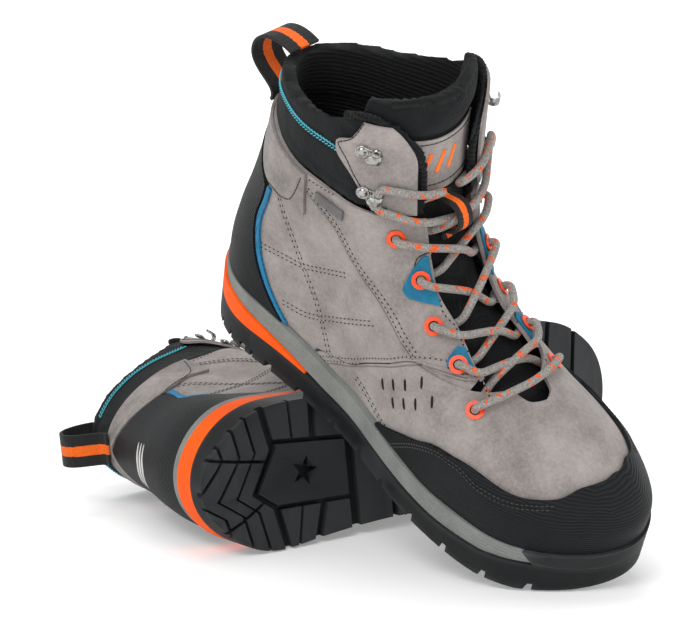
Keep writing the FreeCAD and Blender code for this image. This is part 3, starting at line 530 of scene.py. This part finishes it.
class Threads:
    """Collects many small lengths of thread or cord into one mesh."""

    # a stitch, ring by ring: place along its length, share of its radius, share of its rise
    STITCH = ((-0.5, 0.35, -0.35), (-0.36, 0.85, 0.0), (0.0, 1.0, 1.0),
              (0.36, 0.85, 0.0), (0.5, 0.35, -0.35))
    STITCH_SIDES = 6
    FEWEST_HITS = 4

    def __init__(self):
        self.verts, self.faces = [], []

    def bead(self, centre, along, out, length, radius, rise=0.1):
        """One stitch: a short rounded run whose ends dip into the surface."""
        across = along.cross(out).normalized()
        self.faces += ring_faces(len(self.verts), len(self.STITCH), self.STITCH_SIDES)
        for at, grow, lift in self.STITCH:
            middle = centre + along * (at * length) + out * (lift * rise)
            for k in range(self.STITCH_SIDES):
                a = 2.0 * math.pi * k / self.STITCH_SIDES
                self.verts.append(middle + (across * math.cos(a) + out * math.sin(a)) * radius * grow)

    def tube(self, hits, radius, lift, sides, flat=1.0):
        """A cord that follows surface points; radius is a number, or a function of the share of the way."""
        n = len(hits)
        if n < self.FEWEST_HITS:
            return
        self.faces += ring_faces(len(self.verts), n, sides)
        for i, (p, out) in enumerate(hits):
            along = (hits[min(i + 1, n - 1)][0] - hits[max(i - 1, 0)][0]).normalized()
            across = along.cross(out).normalized()
            up = across.cross(along).normalized()
            r = radius(i / (n - 1)) if callable(radius) else radius
            for k in range(sides):
                a = 2.0 * math.pi * k / sides
                ring = across * (math.cos(a) * r) + up * (math.sin(a) * r * flat)
                self.verts.append(p + out * lift + ring)

    def make(self, name, side, mat, body, slot):
        if self.verts:
            new_piece(name, side, self.verts, self.faces, mat, body)


WIDEST_STEP = 12.0      # surface points further apart lie on different stretches


def walk(hits, pitch, start=0.0):
    """Points a fixed distance apart along surface hits: (centre, direction, normal)."""
    out, due, done = [], start, 0.0
    for (a, na), (b, _) in zip(hits, hits[1:]):
        run = (b - a).length
        if run > WIDEST_STEP:
            done = due = 0.0
            continue
        while run > 0 and due <= done + run:
            t = (due - done) / run
            out.append((a.lerp(b, t), (b - a).normalized(), na))
            due += pitch
        done += run
    return out


THREAD_LIFT, HOLE_LIFT = 0.12, 0.02
HOLE_LENGTH, HOLE_RADIUS, HOLE_RISE = 1.3, 0.36, 0.03


def sew(threads, holes, hits, pitch, length=2.0, radius=0.30):
    """Stitches along surface hits, with a needle hole between each two."""
    for centre, along, out in walk(hits, pitch, pitch * 0.5):
        threads.bead(centre + out * THREAD_LIFT, along, out, length, radius)
    for centre, along, out in walk(hits, pitch):
        holes.bead(centre + out * HOLE_LIFT, along, out, HOLE_LENGTH, HOLE_RADIUS, HOLE_RISE)


# ------------------------------------------------------------------ stitching, seams and vents
QUARTER_TOP = [(72, 149), (90, 151), (106, 155), (122, 160)]
EYESTAY = [(71, 139), (84, 134), (98, 127), (112, 113), (128, 101), (148, 90), (163, 84)]
SIDE_SEAM = [(97, 28), (110, 38), (123, 47), (138, 60), (150, 70), (162, 80), (174, 86), (192, 88)]
QUILT = [
    [(44, 76), (60, 80), (76, 84), (92, 92), (108, 101)],
    [(66, 50), (84, 54), (104, 66), (131, 84)],
    [(52, 118), (62, 104), (76, 84), (90, 66), (106, 38)],
    [(128, 42), (140, 38), (152, 34), (164, 32)],
]
THROAT = [(209, 86), (202, 89), (189, 95), (173, 105), (162, 112), (147, 135), (138, 156)]
COLLAR_STITCH = [(24, 171), (34, 173), (48, 175), (62, 176), (78, 177), (93, 178)]
PANEL_EDGE = [(107, 206), (102, 193), (94, 185), (101, 176), (106, 169), (117, 156), (124, 154)]
PATCHES = [
    [(146, 137), (140, 131), (141, 122), (141, 113), (147, 108), (160, 109)],
    [(187, 97), (180, 97), (178, 92), (180, 88), (188, 87), (197, 89)],
]
SEAM_PITCH, QUILT_PITCH = 2.9, 3.4
SEAM_ROWS, QUILT_ROWS = (1.6, 4.2), (-1.3, 1.3)
COLLAR_PITCH, COLLAR_ROWS, COLLAR_SLANT = 2.2, ((-1.0, 0.0), (1.0, 1.1)), 0.55      # a row: place, start

VENT_ROWS, VENT_STEP, VENTS_IN_ROW = ((149.0, 57.0), (160.0, 53.5)), (8.2, 6.9), 4
VENT_LENGTH, VENT_RADIUS, VENT_LEAN = 6.4, 0.75, Vector((-0.55, 0.0, 1.0))
VENTS = [(x + VENT_STEP[0] * k, z + VENT_STEP[1] * k) for x, z in VENT_ROWS for k in range(VENTS_IN_ROW)]


def sew_collar(cyan, skin, way):
    """Two rows of slanted stitches that mirror each other."""
    for off, start in COLLAR_ROWS:
        for centre, along, out in walk(beside(skin, COLLAR_STITCH, off, way), COLLAR_PITCH, start):
            slant = (along + along.cross(out) * COLLAR_SLANT * off).normalized()
            cyan.bead(centre + out * 0.15, slant, out, 2.3, 0.36, 0.12)


def cut_vents(slots, skin, way):
    """Leaning dark slots in two rows."""
    for point, out in found(skin.side_on(x, z, way) for x, z in VENTS):
        up = VENT_LEAN - out * VENT_LEAN.dot(out)
        slots.bead(point + out * 0.05, up.normalized(), out, VENT_LENGTH, VENT_RADIUS, 0.02)


for side in SIDES:
    mats, boot = MATS[side], f"{side}_boot"
    upper, collar_skin = Skin(side, "quarter", "vamp"), Skin(side, "collar")
    panel = Skin(side, "hook_panels")
    pale, dark, holes, cyan, seam_shadows, slots = (Threads() for _ in range(6))
    for way in (-1, 1):
        for line in (EYESTAY, SIDE_SEAM):
            for off in SEAM_ROWS:
                sew(pale, holes, beside(upper, line, off, way), SEAM_PITCH)
            # a low dark ridge on the seam line itself: the panel's edge, coloured darker as its painted
            # shadow
            seam_shadows.tube(on_side(upper, smooth_line(line), way), 0.42, 0.02, 5, 0.5)
        for line in QUILT:
            for off in QUILT_ROWS:
                sew(pale, holes, beside(upper, line, off, way), QUILT_PITCH, 1.9, 0.26)
        sew(pale, holes, beside(upper, QUARTER_TOP, -2.4, way), SEAM_PITCH)
        sew(pale, holes, beside(upper, THROAT, 3.2, way), SEAM_PITCH)
        for line in PATCHES:
            sew(dark, holes, beside(upper, line, 1.8, way), 2.6, 1.8, 0.3)
        sew(dark, holes, beside(panel, PANEL_EDGE, 2.2, way), 2.7, 1.8, 0.28)
        sew_collar(cyan, collar_skin, way)
        cut_vents(slots, upper, way)
    pale.make(f"{side}_seam_thread", side, mats["stitch"], boot, "suede")
    dark.make(f"{side}_dark_thread", side, mats["stitch_dark"], boot, "collar_black")
    holes.make(f"{side}_needle_holes", side, mats["slot"], boot, "suede")
    cyan.make(f"{side}_collar_thread", side, mats["stitch_cyan"], boot, "mesh_blue")
    seam_shadows.make(f"{side}_seam_edge_shade", side, mats["seam_edge_shadow"], boot, "suede")
    slots.make(f"{side}_vents", side, mats["slot"], boot, "suede")

# ------------------------------------------------------------------ padded and woven pieces
LEG_MIDDLE = 78.0       # x of the collar's middle
TONGUE_SEAM = 190.5     # height of the seam under the tongue's rolled top


def gauss(d, width):
    return math.exp(-(d / width) ** 2)


def copied(side, node, name):
    """A new piece with a copy of a CAD node's mesh."""
    piece = bpy.data.objects.new(name, NODES[f"{side}_{node}"].data.copy())
    bpy.context.scene.collection.objects.link(piece)
    return piece


def bake(piece):
    """Turns what the piece's modifiers make of its mesh into its own mesh."""
    bpy.context.view_layer.update()
    mesh = bpy.data.meshes.new_from_object(piece.evaluated_get(bpy.context.evaluated_depsgraph_get()))
    piece.modifiers.clear()
    piece.data = mesh
    return mesh


def stand_in(piece, side, node, mats, body):
    """Clads a piece and puts it in the place of a CAD node."""
    piece.data.materials.clear()
    for mat in mats:
        piece.data.materials.append(mat)
    piece.data.shade_smooth()
    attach(piece, body)
    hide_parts(f"{side}_{node}")


def soft_copy(side, node, name, voxel_mm, rounds, mats, body, move, pick):
    """A soft piece grown from a plain CAD solid: remeshed finely, relaxed so its edges round off,
    then shaped by move(point, normal) in the boot's own millimetres. pick(point, normal) gives each
    face its material."""
    piece = copied(side, node, name)
    remesh = piece.modifiers.new("grain", "REMESH")
    remesh.mode = "VOXEL"
    remesh.voxel_size = voxel_mm * MM
    relax = piece.modifiers.new("relax", "SMOOTH")
    relax.factor = 0.5
    relax.iterations = rounds
    shaped = bake(piece)
    turn = TO_BOOT[side].to_3x3()
    for v in shaped.vertices:
        p = TO_BOOT[side] @ v.co
        v.co = TO_ROW[side] @ move(p, (turn @ v.normal).normalized())
    stand_in(piece, side, node, mats, body)
    for f in shaped.polygons:
        f.material_index = pick(TO_BOOT[side] @ f.center, (turn @ f.normal).normalized())
    return piece


def woven_copy(side, node, name, roll_mm, mat, body):
    """A flat woven or sewn-down piece: the CAD ribbon with its edges rolled over."""
    piece = copied(side, node, name)
    weld = piece.modifiers.new("weld", "WELD")
    weld.merge_threshold = 0.01 * MM
    roll = piece.modifiers.new("roll", "BEVEL")
    roll.width = roll_mm * MM
    roll.segments = 3
    roll.limit_method = "ANGLE"
    roll.angle_limit = math.radians(50.0)
    bake(piece)
    stand_in(piece, side, node, [mat], body)


def stitch_height(x):
    """Height of the collar's stitch line, from COLLAR_STITCH."""
    return 171.0 + 7.0 * min(1.0, max(0.0, (x - 24.0) / 69.0)) ** 0.6


def outward(p, n):
    """How squarely a face of the collar looks away from the leg."""
    return n.x * (p.x - LEG_MIDDLE) / 60.0 + n.y * p.y / 40.0


def collar_shape(p, n):
    """Foam that pulls in along its stitch line, and a little and unevenly elsewhere."""
    if outward(p, n) <= 0.2:
        return p - n * 0.5 * (1.0 + noise.noise(p * 0.05))
    sink = 1.5 * gauss(p.z - stitch_height(p.x), 2.4)
    if p.z > 158.0:
        sink += 0.35 * (1.0 + noise.noise(p * 0.06))
    return p - n * sink


def collar_face(p, n):
    """Face cloth outside, ribbed lining over the mouth and inside."""
    return 0 if outward(p, n) > 0.25 and n.z < 0.75 else 1


def tongue_shape(p, n):
    """A pillow above the lacing, with a seam under its rolled top and a soft uneven surface."""
    swell = 2.2 * min(1.0, max(0.0, (p.z - 191.0) / 10.0)) * gauss(p.y, 24.0)
    seam = -0.9 * gauss(p.z - TONGUE_SEAM, 1.6) if p.z > 180.0 else 0.0
    ripple = 0.35 * noise.noise(p * 0.09)
    return p + n * (swell + seam + ripple)


def tongue_face(p, n):
    """Lining behind and over the top, face cloth in front."""
    return 1 if n.x < -0.15 or (p.z > 204.0 and n.z > 0.5) else 0


for side in SIDES:
    mats, boot, flap = MATS[side], f"{side}_boot", f"{side}_tongue_flap"
    collar = soft_copy(side, "collar", f"{side}_padded_collar", 2.0, 5, [mats["collar"], mats["lining"]],
                       boot, collar_shape, collar_face)
    tongue = soft_copy(side, "tongue", f"{side}_padded_tongue", 1.8, 4, [mats["tongue"], mats["lining"]],
                       flap, tongue_shape, tongue_face)
    woven_copy(side, "pull_loop", f"{side}_pull_webbing", 0.35, mats["web"], f"{side}_pull_loop_body")
    woven_copy(side, "lace_keeper", f"{side}_keeper_webbing", 0.3, mats["keeper"], flap)
    woven_copy(side, "tongue_patch", f"{side}_tongue_badge", 0.4, mats["suede"], flap)

# ------------------------------------------------------------------ bindings, and the badge on the tongue
FLAP_BINDING = [(96, 200.5), (104, 203.5), (110, 204.0), (114, 202.0), (120, 196.0), (126, 186.5),
                (130.5, 176), (132, 168), (134, 160)]
BINDING_RIB = 1.9       # millimetres from one rib of the flap's binding to the next
TONGUE_HALF_WIDTH = 27.0
BADGE_ROWS, BADGE_HALF_WIDTH = (163.4, 187.0), 24.0
BAR_START, BAR_STEP, BAR_POINTS, BAR_SPACING = (-13.0, 170.0), (0.42, 0.85), 14, 8.0


def ribbed(middle, ripple, turn):
    """Radius of a ribbed binding, as a function of the share of the way."""
    return lambda share: middle + ripple * math.sin(share * turn)


def bind_flap(edge, skin, way):
    """A ribbed roll down the front edge of the collar's flap."""
    hits = on_side(skin, smooth_line(FLAP_BINDING, 0.45), way)
    total = sum((b - a).length for (a, _), (b, _) in zip(hits, hits[1:]))
    radius = ribbed(2.0, 0.28, total * 2.0 * math.pi / BINDING_RIB)
    edge.tube([(p - n * 1.1, n) for p, n in hits], radius, 0.2, 9)


def bind_tongue(edge, skin):
    """A ribbed roll over the tongue's curved top."""
    tops = found(skin.from_above(121.0 - 0.012 * y * y, y)
                 for y in spread(-TONGUE_HALF_WIDTH, TONGUE_HALF_WIDTH, 61))
    edge.tube([(p - n * 0.6, n) for p, n in tops], ribbed(2.3, 0.25, 180.0), 0.0, 9)


def badge_bar(skin, k):
    """Surface points under one slanted bar of the badge."""
    y, z = BAR_START[0] + BAR_SPACING * k, BAR_START[1]
    return found(skin.head_on(y + BAR_STEP[0] * i, z + BAR_STEP[1] * i) for i in range(BAR_POINTS))


for side in SIDES:
    mats, boot, flap = MATS[side], f"{side}_boot", f"{side}_tongue_flap"
    collar_skin, badge = Skin(side, "collar"), Skin(side, "tongue_patch")
    edge, tongue_edge, threads, needle, bars = (Threads() for _ in range(5))
    for way in (-1, 1):
        bind_flap(edge, collar_skin, way)
    bind_tongue(tongue_edge, Skin(side, "tongue"))
    for z in BADGE_ROWS:
        row = found(badge.head_on(y, z) for y in spread(-BADGE_HALF_WIDTH, BADGE_HALF_WIDTH, 90))
        sew(threads, needle, row, 2.7, 1.8, 0.28)
    for k in range(3):
        bars.tube(badge_bar(badge, k), 1.35, 0.06, 8, 0.35)
    edge.make(f"{side}_flap_binding", side, mats["lining"], boot, "lining_black")
    tongue_edge.make(f"{side}_tongue_binding", side, mats["lining"], flap, "lining_black")
    threads.make(f"{side}_badge_thread", side, mats["stitch_dark"], flap, "suede")
    needle.make(f"{side}_badge_holes", side, mats["slot"], flap, "suede")
    bars.make(f"{side}_badge_bars", side, mats["print"], flap, "eyelet_orange")

# ------------------------------------------------------------------ lace hooks
# A hook is drawn as (u, height): u runs forward along the panel from the hook's seat, height off the panel.
HOOK_SEATS = [(118.5, 162.5), (114.5, 186.5)]
RIVET_AT, DRUM_AT = -5.9, 1.4
RIVET = [(3.5, 0.6), (3.6, 0.95), (3.3, 1.25), (2.75, 1.3), (2.55, 1.15), (2.4, 1.3), (2.2, 1.75),
         (1.6, 2.2), (0.8, 2.4), (0.1, 2.45)]
DRUM = [(2.9, 0.1), (3.0, 0.4), (3.0, 0.9), (2.7, 1.05), (2.7, 1.25), (2.4, 1.45), (1.2, 1.5), (0.1, 1.5)]
LATHE_SPOKES = 28

STRAP_THICK, STRAP_CHAMFER = 0.9, 0.22
FOOT_RADIUS, FOOT_HEIGHT, FOOT_STEPS = 3.2, 0.5, 6
NECK = [(-4.4, 3.0), (-3.0, 2.6), (-1.0, 2.4), (1.2, 2.4)]      # (u, half width) at the foot's height
CURL_AT, CURL_SIZE, CURL_HALF_WIDTH, CURL_STEPS = (1.5, 3.45), (2.9, 2.95), 2.4, 12
LIP_START, LIP_LENGTH, LIP_HEIGHT, LIP_RISE, LIP_STEPS = -0.4, 2.5, 6.5, 0.5, 6
NARROWEST = 0.5


def hook_strap():
    """Bent sheet of one hook as (u, height, half width): a round foot, a neck, a curl, a rounded lip."""
    run = []
    for k in range(FOOT_STEPS + 1):
        reach = FOOT_RADIUS * math.cos(0.5 * math.pi * k / FOOT_STEPS)
        wide = math.sqrt(max(0.0, FOOT_RADIUS ** 2 - reach ** 2))
        run.append((RIVET_AT - reach, FOOT_HEIGHT, max(NARROWEST, wide)))
    run += [(u, FOOT_HEIGHT, wide) for u, wide in NECK]
    for k in range(1, CURL_STEPS):
        a = -0.5 * math.pi + math.pi * k / CURL_STEPS
        run.append((CURL_AT[0] + CURL_SIZE[0] * math.cos(a), CURL_AT[1] + CURL_SIZE[1] * math.sin(a),
                    CURL_HALF_WIDTH))
    run += [(1.2, 6.4, 2.45), (LIP_START, 6.45, 2.5)]
    for k in range(1, LIP_STEPS + 1):
        a = 0.5 * math.pi * k / LIP_STEPS
        run.append((LIP_START - LIP_LENGTH * math.sin(a), LIP_HEIGHT + LIP_RISE * math.sin(a) ** 2,
                    max(0.45, LIP_LENGTH * math.cos(a))))
    return run


def strap_mesh(run):
    """The sheet along a run, its eight-sided section chamfered at the corners."""
    verts = []
    half, cut = STRAP_THICK / 2.0, STRAP_CHAMFER
    for i, (u, h, w) in enumerate(run):
        a, b = run[max(i - 1, 0)], run[min(i + 1, len(run) - 1)]
        along = Vector((b[0] - a[0], b[1] - a[1])).normalized()
        for s, n in ((w, cut - half), (w, half - cut), (w - cut, half), (cut - w, half),
                     (-w, half - cut), (-w, cut - half), (cut - w, -half), (w - cut, -half)):
            verts.append(Vector((u - along.y * n, s, h + along.x * n)))
    return verts, ring_faces(0, len(run), 8)


def lathe_mesh(at, profile):
    """A turned piece standing at u = at: profile is (radius, height) from its rim to its middle."""
    verts = []
    for r, h in profile:
        for k in range(LATHE_SPOKES):
            a = 2.0 * math.pi * k / LATHE_SPOKES
            verts.append(Vector((at + r * math.cos(a), r * math.sin(a), h)))
    return verts, ring_faces(0, len(profile), LATHE_SPOKES)


def place_on_seats(side, shapes):
    """One mesh with the given shapes at every hook's seat."""
    panel = Skin(side, "hook_panels")
    verts, faces = [], []
    for way in (-1, 1):
        for seat, out in found(panel.side_on(x, z, way) for x, z in HOOK_SEATS):
            forward = (Vector((1, 0, 0)) - out * out.x).normalized()
            across = out.cross(forward)
            for shape_verts, shape_faces in shapes:
                base = len(verts)
                verts += [seat + forward * v.x + across * v.y + out * v.z for v in shape_verts]
                faces += [[base + i for i in f] for f in shape_faces]
    return verts, faces


HOOK_PIECES = (
    ("hooks", "lace_hooks", [strap_mesh(hook_strap()), lathe_mesh(DRUM_AT, DRUM)]),
    ("rivets", "hook_rivets", [lathe_mesh(RIVET_AT, RIVET)]),
)
for side in SIDES:
    for name, node, shapes in HOOK_PIECES:
        verts, faces = place_on_seats(side, shapes)
        piece = new_piece(f"{side}_nickel_{name}", side, verts, faces, MATS[side]["nickel"], f"{side}_boot")
        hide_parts(f"{side}_{node}")

# ------------------------------------------------------------------ suede underlay between quarter and vamp
UNDERLAY_X, UNDERLAY_STEP = (150.0, 216.0), 1.5
SEARCH_Z, SEARCH_STEP = (66.0, 104.0), 0.5
WIDEST_GAP = 16.0
UNDERLAY_DEPTH = 0.9        # below the skin of both
UNDERLAY_TUCK = 0.25        # share of the gap that it runs on under each
UNDERLAY_COLUMNS = 5


def gap_edges(skins, x, way):
    """The quarter's lower edge and the vamp below it, on one upright line; None where there is no gap."""
    top = below = None
    z = SEARCH_Z[1]
    while z > SEARCH_Z[0] and below is None:
        hit, on_quarter, on_vamp = (skin.side_on(x, z, way) for skin in skins)
        if on_quarter and abs(on_quarter[0].y - hit[0].y) < 0.01:
            top = on_quarter
        elif top and on_vamp:
            below = on_vamp
        z -= SEARCH_STEP
    if top and below and (top[0] - below[0]).length < WIDEST_GAP:
        return top[0] - top[1] * UNDERLAY_DEPTH, below[0] - below[1] * UNDERLAY_DEPTH
    return None


for side in SIDES:
    skins = Skin(side, "quarter", "vamp"), Skin(side, "quarter"), Skin(side, "vamp")
    verts, faces = [], []
    for way in (-1, 1):
        last = None
        columns = round((UNDERLAY_X[1] - UNDERLAY_X[0]) / UNDERLAY_STEP) + 1
        for x in spread(*UNDERLAY_X, columns):
            edges = gap_edges(skins, x, way)
            if edges is None:
                last = None
                continue
            high, low = edges
            high, low = high + (high - low) * UNDERLAY_TUCK, low + (low - high) * UNDERLAY_TUCK
            base = len(verts)
            verts += [high.lerp(low, share) for share in spread(0.0, 1.0, UNDERLAY_COLUMNS)]
            if last is not None:
                for k in range(UNDERLAY_COLUMNS - 1):
                    quad = (last + k, last + k + 1, base + k + 1, base + k)
                    faces.append(quad if way > 0 else quad[::-1])
            last = base
    new_piece(f"{side}_seam_underlay", side, verts, faces, MATS[side]["suede"], f"{side}_boot")

# ------------------------------------------------------------------ toe rand, heel cap and heel band trim
RAND_SIDE = [(160, 27), (170, 37), (180, 46.5), (190, 54), (201, 59.5), (210, 60.5), (218, 60.6),
             (229, 57.6), (245, 57.5), (255, 59.5), (264, 62)]
CAP_FRONT = [(35, 118), (41, 105), (37, 91), (41, 74), (48, 60)]
BAND_EDGE = [(36, 115), (47, 118), (58, 119.5), (66, 124), (70, 131), (73, 139), (75, 146)]

MARK_STRIPES, MARK_SPACING, MARK_TOP, MARK_CENTRE = 3, 5.0, 98.0, 50.0
MARK_HALF_ANGLE, MARK_DROP, MARK_RADIUS = 0.30, 3.0, 1.5


def mark_stripe(cap, k):
    """Surface points under one chevron on the back of the heel cap, its middle lower than its ends."""
    top = MARK_TOP - MARK_SPACING * k
    return found(cap.around(math.pi + a, top - MARK_DROP * (1.0 - abs(a) / MARK_HALF_ANGLE), MARK_CENTRE)
                 for a in spread(-MARK_HALF_ANGLE, MARK_HALF_ANGLE, 22))


def mark_width(share):
    """Radius of a chevron's stroke, rounded off towards both ends."""
    return MARK_RADIUS * math.sqrt(max(0.05, 1.0 - (2.0 * share - 1.0) ** 2))


for side in SIDES:
    mats, boot = MATS[side], f"{side}_boot"
    rand, cap, band = Skin(side, "toe_rand"), Skin(side, "heel_cap"), Skin(side, "heel_band")
    dark, holes, mark = Threads(), Threads(), Threads()
    for way in (-1, 1):
        for off in (-2.0, -3.9):
            sew(dark, holes, beside(rand, RAND_SIDE, off, way), 2.5, 1.8, 0.33)
        sew(dark, holes, beside(cap, CAP_FRONT, 2.0, way), 2.7, 1.8, 0.3)
        sew(dark, holes, beside(band, BAND_EDGE, 1.8, way), 2.7, 1.8, 0.28)
    for k in range(MARK_STRIPES):
        mark.tube(mark_stripe(cap, k), mark_width, 0.05, 8, 0.3)
    dark.make(f"{side}_rand_thread", side, mats["stitch_dark"], boot, "rand_black")
    holes.make(f"{side}_rand_holes", side, mats["slot"], boot, "rand_black")
    mark.make(f"{side}_reflective_mark", side, mats["reflect"], boot, "tag_grey")

# ------------------------------------------------------------------ camera
LENS_MM, SENSOR_MM = 104.15, 36.0
CAMERA_AT = (-0.70778, -0.9267, 0.28604)
CAMERA_RIGHT, CAMERA_AHEAD = (0.81177, -0.58373, -0.01681), (0.57595, 0.80504, -0.14206)

camera = bpy.data.objects.new("camera", bpy.data.cameras.new("camera"))
bpy.context.scene.collection.objects.link(camera)
camera.data.lens = LENS_MM
camera.data.sensor_width = SENSOR_MM
camera.data.clip_end = 20.0
right = Vector(CAMERA_RIGHT).normalized()
up = right.cross(Vector(CAMERA_AHEAD).normalized()).normalized()
ahead = up.cross(right).normalized()
camera.matrix_world = Matrix.Translation(CAMERA_AT) @ Matrix((right, up, -ahead)).transposed().to_4x4()
bpy.context.scene.camera = camera

# ------------------------------------------------------------------ floor
FLAT_RADII = (0.4, 0.8, 1.4, 2.2)
SWEEP_RADIUS, SWEEP_STEPS, SPOKES = 1.2, 16, 96
FLOOR_DROP = 0.0005     # metres that the floor lies under the boots


def floor_rings():
    """(radius, height) from the middle out: flat, then sweeping up into a backdrop all the way round."""
    rings = [(r, 0.0) for r in FLAT_RADII]
    for k in range(1, SWEEP_STEPS + 1):
        a = 0.5 * math.pi * k / SWEEP_STEPS
        rings.append((FLAT_RADII[-1] + SWEEP_RADIUS * math.sin(a), SWEEP_RADIUS * (1.0 - math.cos(a))))
    return rings


def floor_mesh(rings):
    verts = [(0.0, 0.0, 0.0)]
    for r, z in rings:
        for k in range(SPOKES):
            a = 2.0 * math.pi * k / SPOKES
            verts.append((r * math.cos(a), r * math.sin(a), z))
    faces = [(0, 1 + k, 1 + (k + 1) % SPOKES) for k in range(SPOKES)]
    for i in range(len(rings) - 1):
        for k in range(SPOKES):
            a, b = 1 + i * SPOKES + k, 1 + i * SPOKES + (k + 1) % SPOKES
            faces.append((a, a + SPOKES, b + SPOKES, b))
    mesh = bpy.data.meshes.new("floor")
    mesh.from_pydata(verts, [], faces)
    mesh.shade_smooth()
    return mesh


def floor_paint():
    """White paint that glows more the further out and up it is, so that the backdrop stays bright."""
    s = Shade("floor_paint", Roughness=0.95, Specular_IOR_Level=0.1)
    s.colour(s.ramp(s.noise(0.002, 2.0), [(0.3, (0.86, 0.86, 0.86)), (0.7, (0.89, 0.89, 0.89))]))
    far = s.math("DIVIDE", s.math("ADD", s.math("ABSOLUTE", s.axis(2)), s.length()), 3200.0)
    glow = s.ramp(far, [(0.15, (0.22, 0.22, 0.22)), (0.9, (0.62, 0.62, 0.62))])
    s.link(glow, s.bsdf.inputs["Emission Color"])
    s.bsdf.inputs["Emission Strength"].default_value = 1.0
    return s.mat


floor = bpy.data.objects.new("floor", floor_mesh(floor_rings()))
floor.location.z = cad_low.z - FLOOR_DROP
floor.data.materials.append(floor_paint())
bpy.context.scene.collection.objects.link(floor)
floor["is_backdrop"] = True

# ------------------------------------------------------------------ light
MIDDLE = (0.0, 0.0, 0.1)

world = bpy.data.worlds.new("studio")
world.use_nodes = True
world.node_tree.nodes["Background"].inputs["Color"].default_value = (1.0, 1.0, 1.0, 1.0)
world.node_tree.nodes["Background"].inputs["Strength"].default_value = 0.45
bpy.context.scene.world = world
bpy.context.scene.view_settings.view_transform = "Standard"


def softbox(name, where, aim, size, watts):
    lamp = bpy.data.objects.new(name, bpy.data.lights.new(name, "AREA"))
    lamp.data.shape = "SQUARE"
    lamp.data.size = size
    lamp.data.energy = watts
    lamp.location = where
    lamp.rotation_euler = (Vector(aim) - Vector(where)).to_track_quat("-Z", "Y").to_euler()
    bpy.context.scene.collection.objects.link(lamp)


softbox("key", (-1.3, -0.9, 1.5), MIDDLE, 0.9, 20)
softbox("fill", (0.9, -1.6, 0.7), MIDDLE, 1.2, 7)
softbox("top", (0.1, 0.3, 1.9), MIDDLE, 1.4, 13)
softbox("rim", (1.1, 1.2, 1.0), (0.0, 0.0, 0.15), 0.8, 8)

# ------------------------------------------------------------------ size
low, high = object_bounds()
